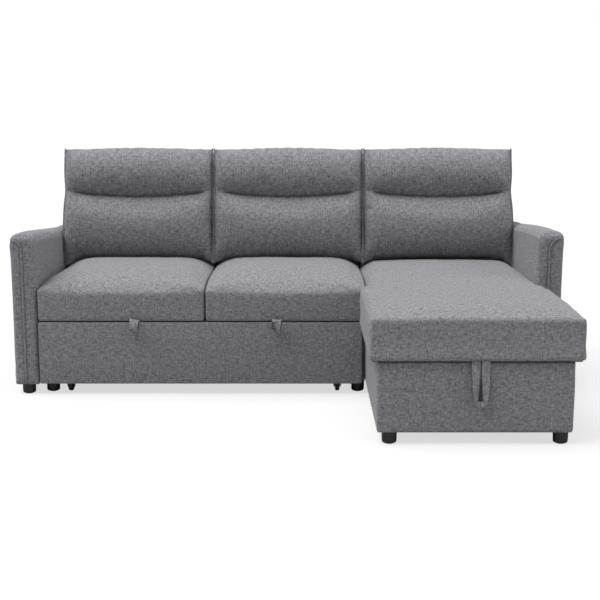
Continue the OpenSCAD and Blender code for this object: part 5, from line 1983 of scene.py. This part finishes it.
@dataclass
class Studio:
    """A pale floor, soft light from above and the left, and the camera."""

    room_light: float = 0.13
    lamps: tuple[Lamp, ...] = (
        Lamp("overhead_softbox", 0.80, 84, 0, 60),
        Lamp("rear_softbox", 0.30, 66, 180, 50),
        Lamp("left_softbox", 2.6, 60, -80, 50),
        Lamp("right_softbox", 0.90, 24, 78, 40),
        Lamp("front_softbox", 0.14, 12, 0, 50))
    lens: float = 68.82
    eye: Triple = (0.0506, -4.3907, 1.1436)
    pitch: float = 10.2
    floor_size: float = 120.0
    floor_colour: Triple = (0.86, 0.86, 0.86)
    floor_bounce: Triple = (0.42, 0.42, 0.42)
    floor_glow: float = 0.66

    def build(self) -> None:
        """Builds floor, world, lamps and camera."""
        self._floor()
        self._world()
        for lamp in self.lamps:
            lamp.build()
        self._camera()
        bpy.context.scene.view_settings.view_transform = "Standard"

    def _floor(self) -> None:
        """Adds a floor that looks white, keeps the shadow and throws little light back."""
        clear()
        bpy.ops.mesh.primitive_plane_add(size=self.floor_size)
        floor = bpy.context.object
        floor.name = "studio_floor"
        made = bpy.data.materials.new("studio_floor")
        made.use_nodes = True
        graph = Graph(made.node_tree)
        seen = graph.out(graph.node("LightPath"), "Is Camera Ray")
        paint = graph.node("BsdfDiffuse", inputs={"Color": (*self.floor_colour, 1)})
        glow = graph.node("Emission", inputs={"Color": (1, 1, 1, 1), "Strength": 1.0})
        bounce = graph.node("BsdfDiffuse", inputs={"Color": (*self.floor_bounce, 1)})
        # In the bed's bay the floor lies in real shade
        x, y, _ = graph.parts(graph.coordinates())
        bay = (x > -0.93) * (x * -1 > -0.27) * (y > 0.10) * (y * -1 > -0.60)
        shown = graph.node("MixShader", inputs={0: (1 - bay) * self.floor_glow, 1: graph.out(paint),
                                                2: graph.out(glow)})
        both = graph.node("MixShader", inputs={0: seen, 1: graph.out(bounce), 2: graph.out(shown)})
        end = graph.node("OutputMaterial")
        graph.tree.links.new(both.outputs[0], end.inputs[0])
        floor.data.materials.append(made)
        clear()

    def _world(self) -> None:
        """Fills the room with even light behind a white backdrop."""
        world = bpy.data.worlds.new("studio")
        bpy.context.scene.world = world
        world.use_nodes = True
        graph = Graph(world.node_tree)
        path = graph.node("LightPath")
        seen = graph.maths("MAXIMUM", graph.out(path, "Is Camera Ray"),
                           graph.maths("MAXIMUM", graph.out(path, "Is Glossy Ray"),
                                       graph.out(path, "Is Transmission Ray")))
        lit = graph.node("Background", inputs={"Color": (1, 1, 1, 1),
                                               "Strength": self.room_light + seen * (1 - self.room_light)})
        end = graph.node("OutputWorld")
        graph.tree.links.new(lit.outputs[0], end.inputs[0])

    def _camera(self) -> None:
        """Adds the camera at the photograph's angle."""
        data = bpy.data.cameras.new("camera")
        data.sensor_fit = "HORIZONTAL"
        data.sensor_width = 36.0
        data.lens = self.lens
        data.clip_end = 200.0
        camera = bpy.data.objects.new("camera", data)
        bpy.context.scene.collection.objects.link(camera)
        camera.location = self.eye
        camera.rotation_euler = (math.radians(90 - self.pitch), 0, 0)
        bpy.context.scene.camera = camera


@dataclass
class Sofa:
    """The whole sofa: its sub-assemblies in their order."""

    # Left and right, then front and rear
    arm_feet: tuple[Pair, ...] = tuple(product((-1.0005, 1.0005), (0.028, 0.810)))
    seat_feet: tuple[Pair, ...] = tuple(product((-0.914, 0.276), (0.062, 0.810)))
    chaise_feet: tuple[Pair, ...] = tuple(product((0.347, 0.917), (-0.623, 0.501)))

    def build(self) -> None:
        """Builds every piece round the frame."""
        CarriedParts().build()
        SeatCushion("left", left_shoulder=(0.032, 0.090), seed=0.3).build()
        SeatCushion("middle", seed=1.9).build()
        BackCushion("left", seed=1.1, droop=(0.020, 0.004), drawn=(1.0, 0.25)).build()
        BackCushion("middle", seed=2.6, droop=(0.004, 0.004)).build()
        BackCushion("right", seed=4.2, droop=(0.004, 0.014), drawn=(0.25, 1.0), pressed=0.84).build()
        Arm(Side.LEFT, shoulder=0.034, tops=(
            (0, 0.629), (0.1, 0.625), (0.25, 0.614), (0.4, 0.6005), (0.69, 0.575), (0.85, 0.563))).build()
        Arm(Side.RIGHT, seam_in=0.052, tops=(
            (0, 0.638), (0.1, 0.635), (0.21, 0.630), (0.4, 0.617), (0.56, 0.603), (0.75, 0.586),
            (0.85, 0.578))).build()
        ChaiseLid().build()
        ChaiseSkirt().build()
        PlainPad("rear_pad_fabric", "chaise_rear_pad", "sofa", WEAVE, Slot.FABRIC, lean_rear=True).build()
        BedFront().build()
        for side, ends in (("left", (-0.954, -0.936)), ("right", (0.284, 0.302))):
            EdgeCloth(f"{side}_board_edging", ends).build()
        PlainPad("bed_pad_ticking", "bed_pad", "pull_out_bed", Ticking(), Slot.TICKING, rim=0.022,
                 channels=0.145, trim=0.003).build()
        BackShell("sofa_back_shell", "sofa_back_cover", (-0.952, 0.316)).build()
        BackShell("chaise_back_shell", "chaise_back_cover", (0.320, 0.952)).build()
        PullLoop().build()
        PullTabs().build()
        SeatWebbing().build()
        RoundFeet("outer_feet_moulded", "outer_feet", self.arm_feet + self.seat_feet).build()
        RoundFeet("chaise_feet_moulded", "chaise_feet", self.chaise_feet).build()


def main() -> None:
    """Builds the sofa and its studio."""
    logging.basicConfig(level=logging.INFO, format="%(name)s: %(message)s")
    Sofa().build()
    Studio().build()


if __name__ == "__main__":
    main()
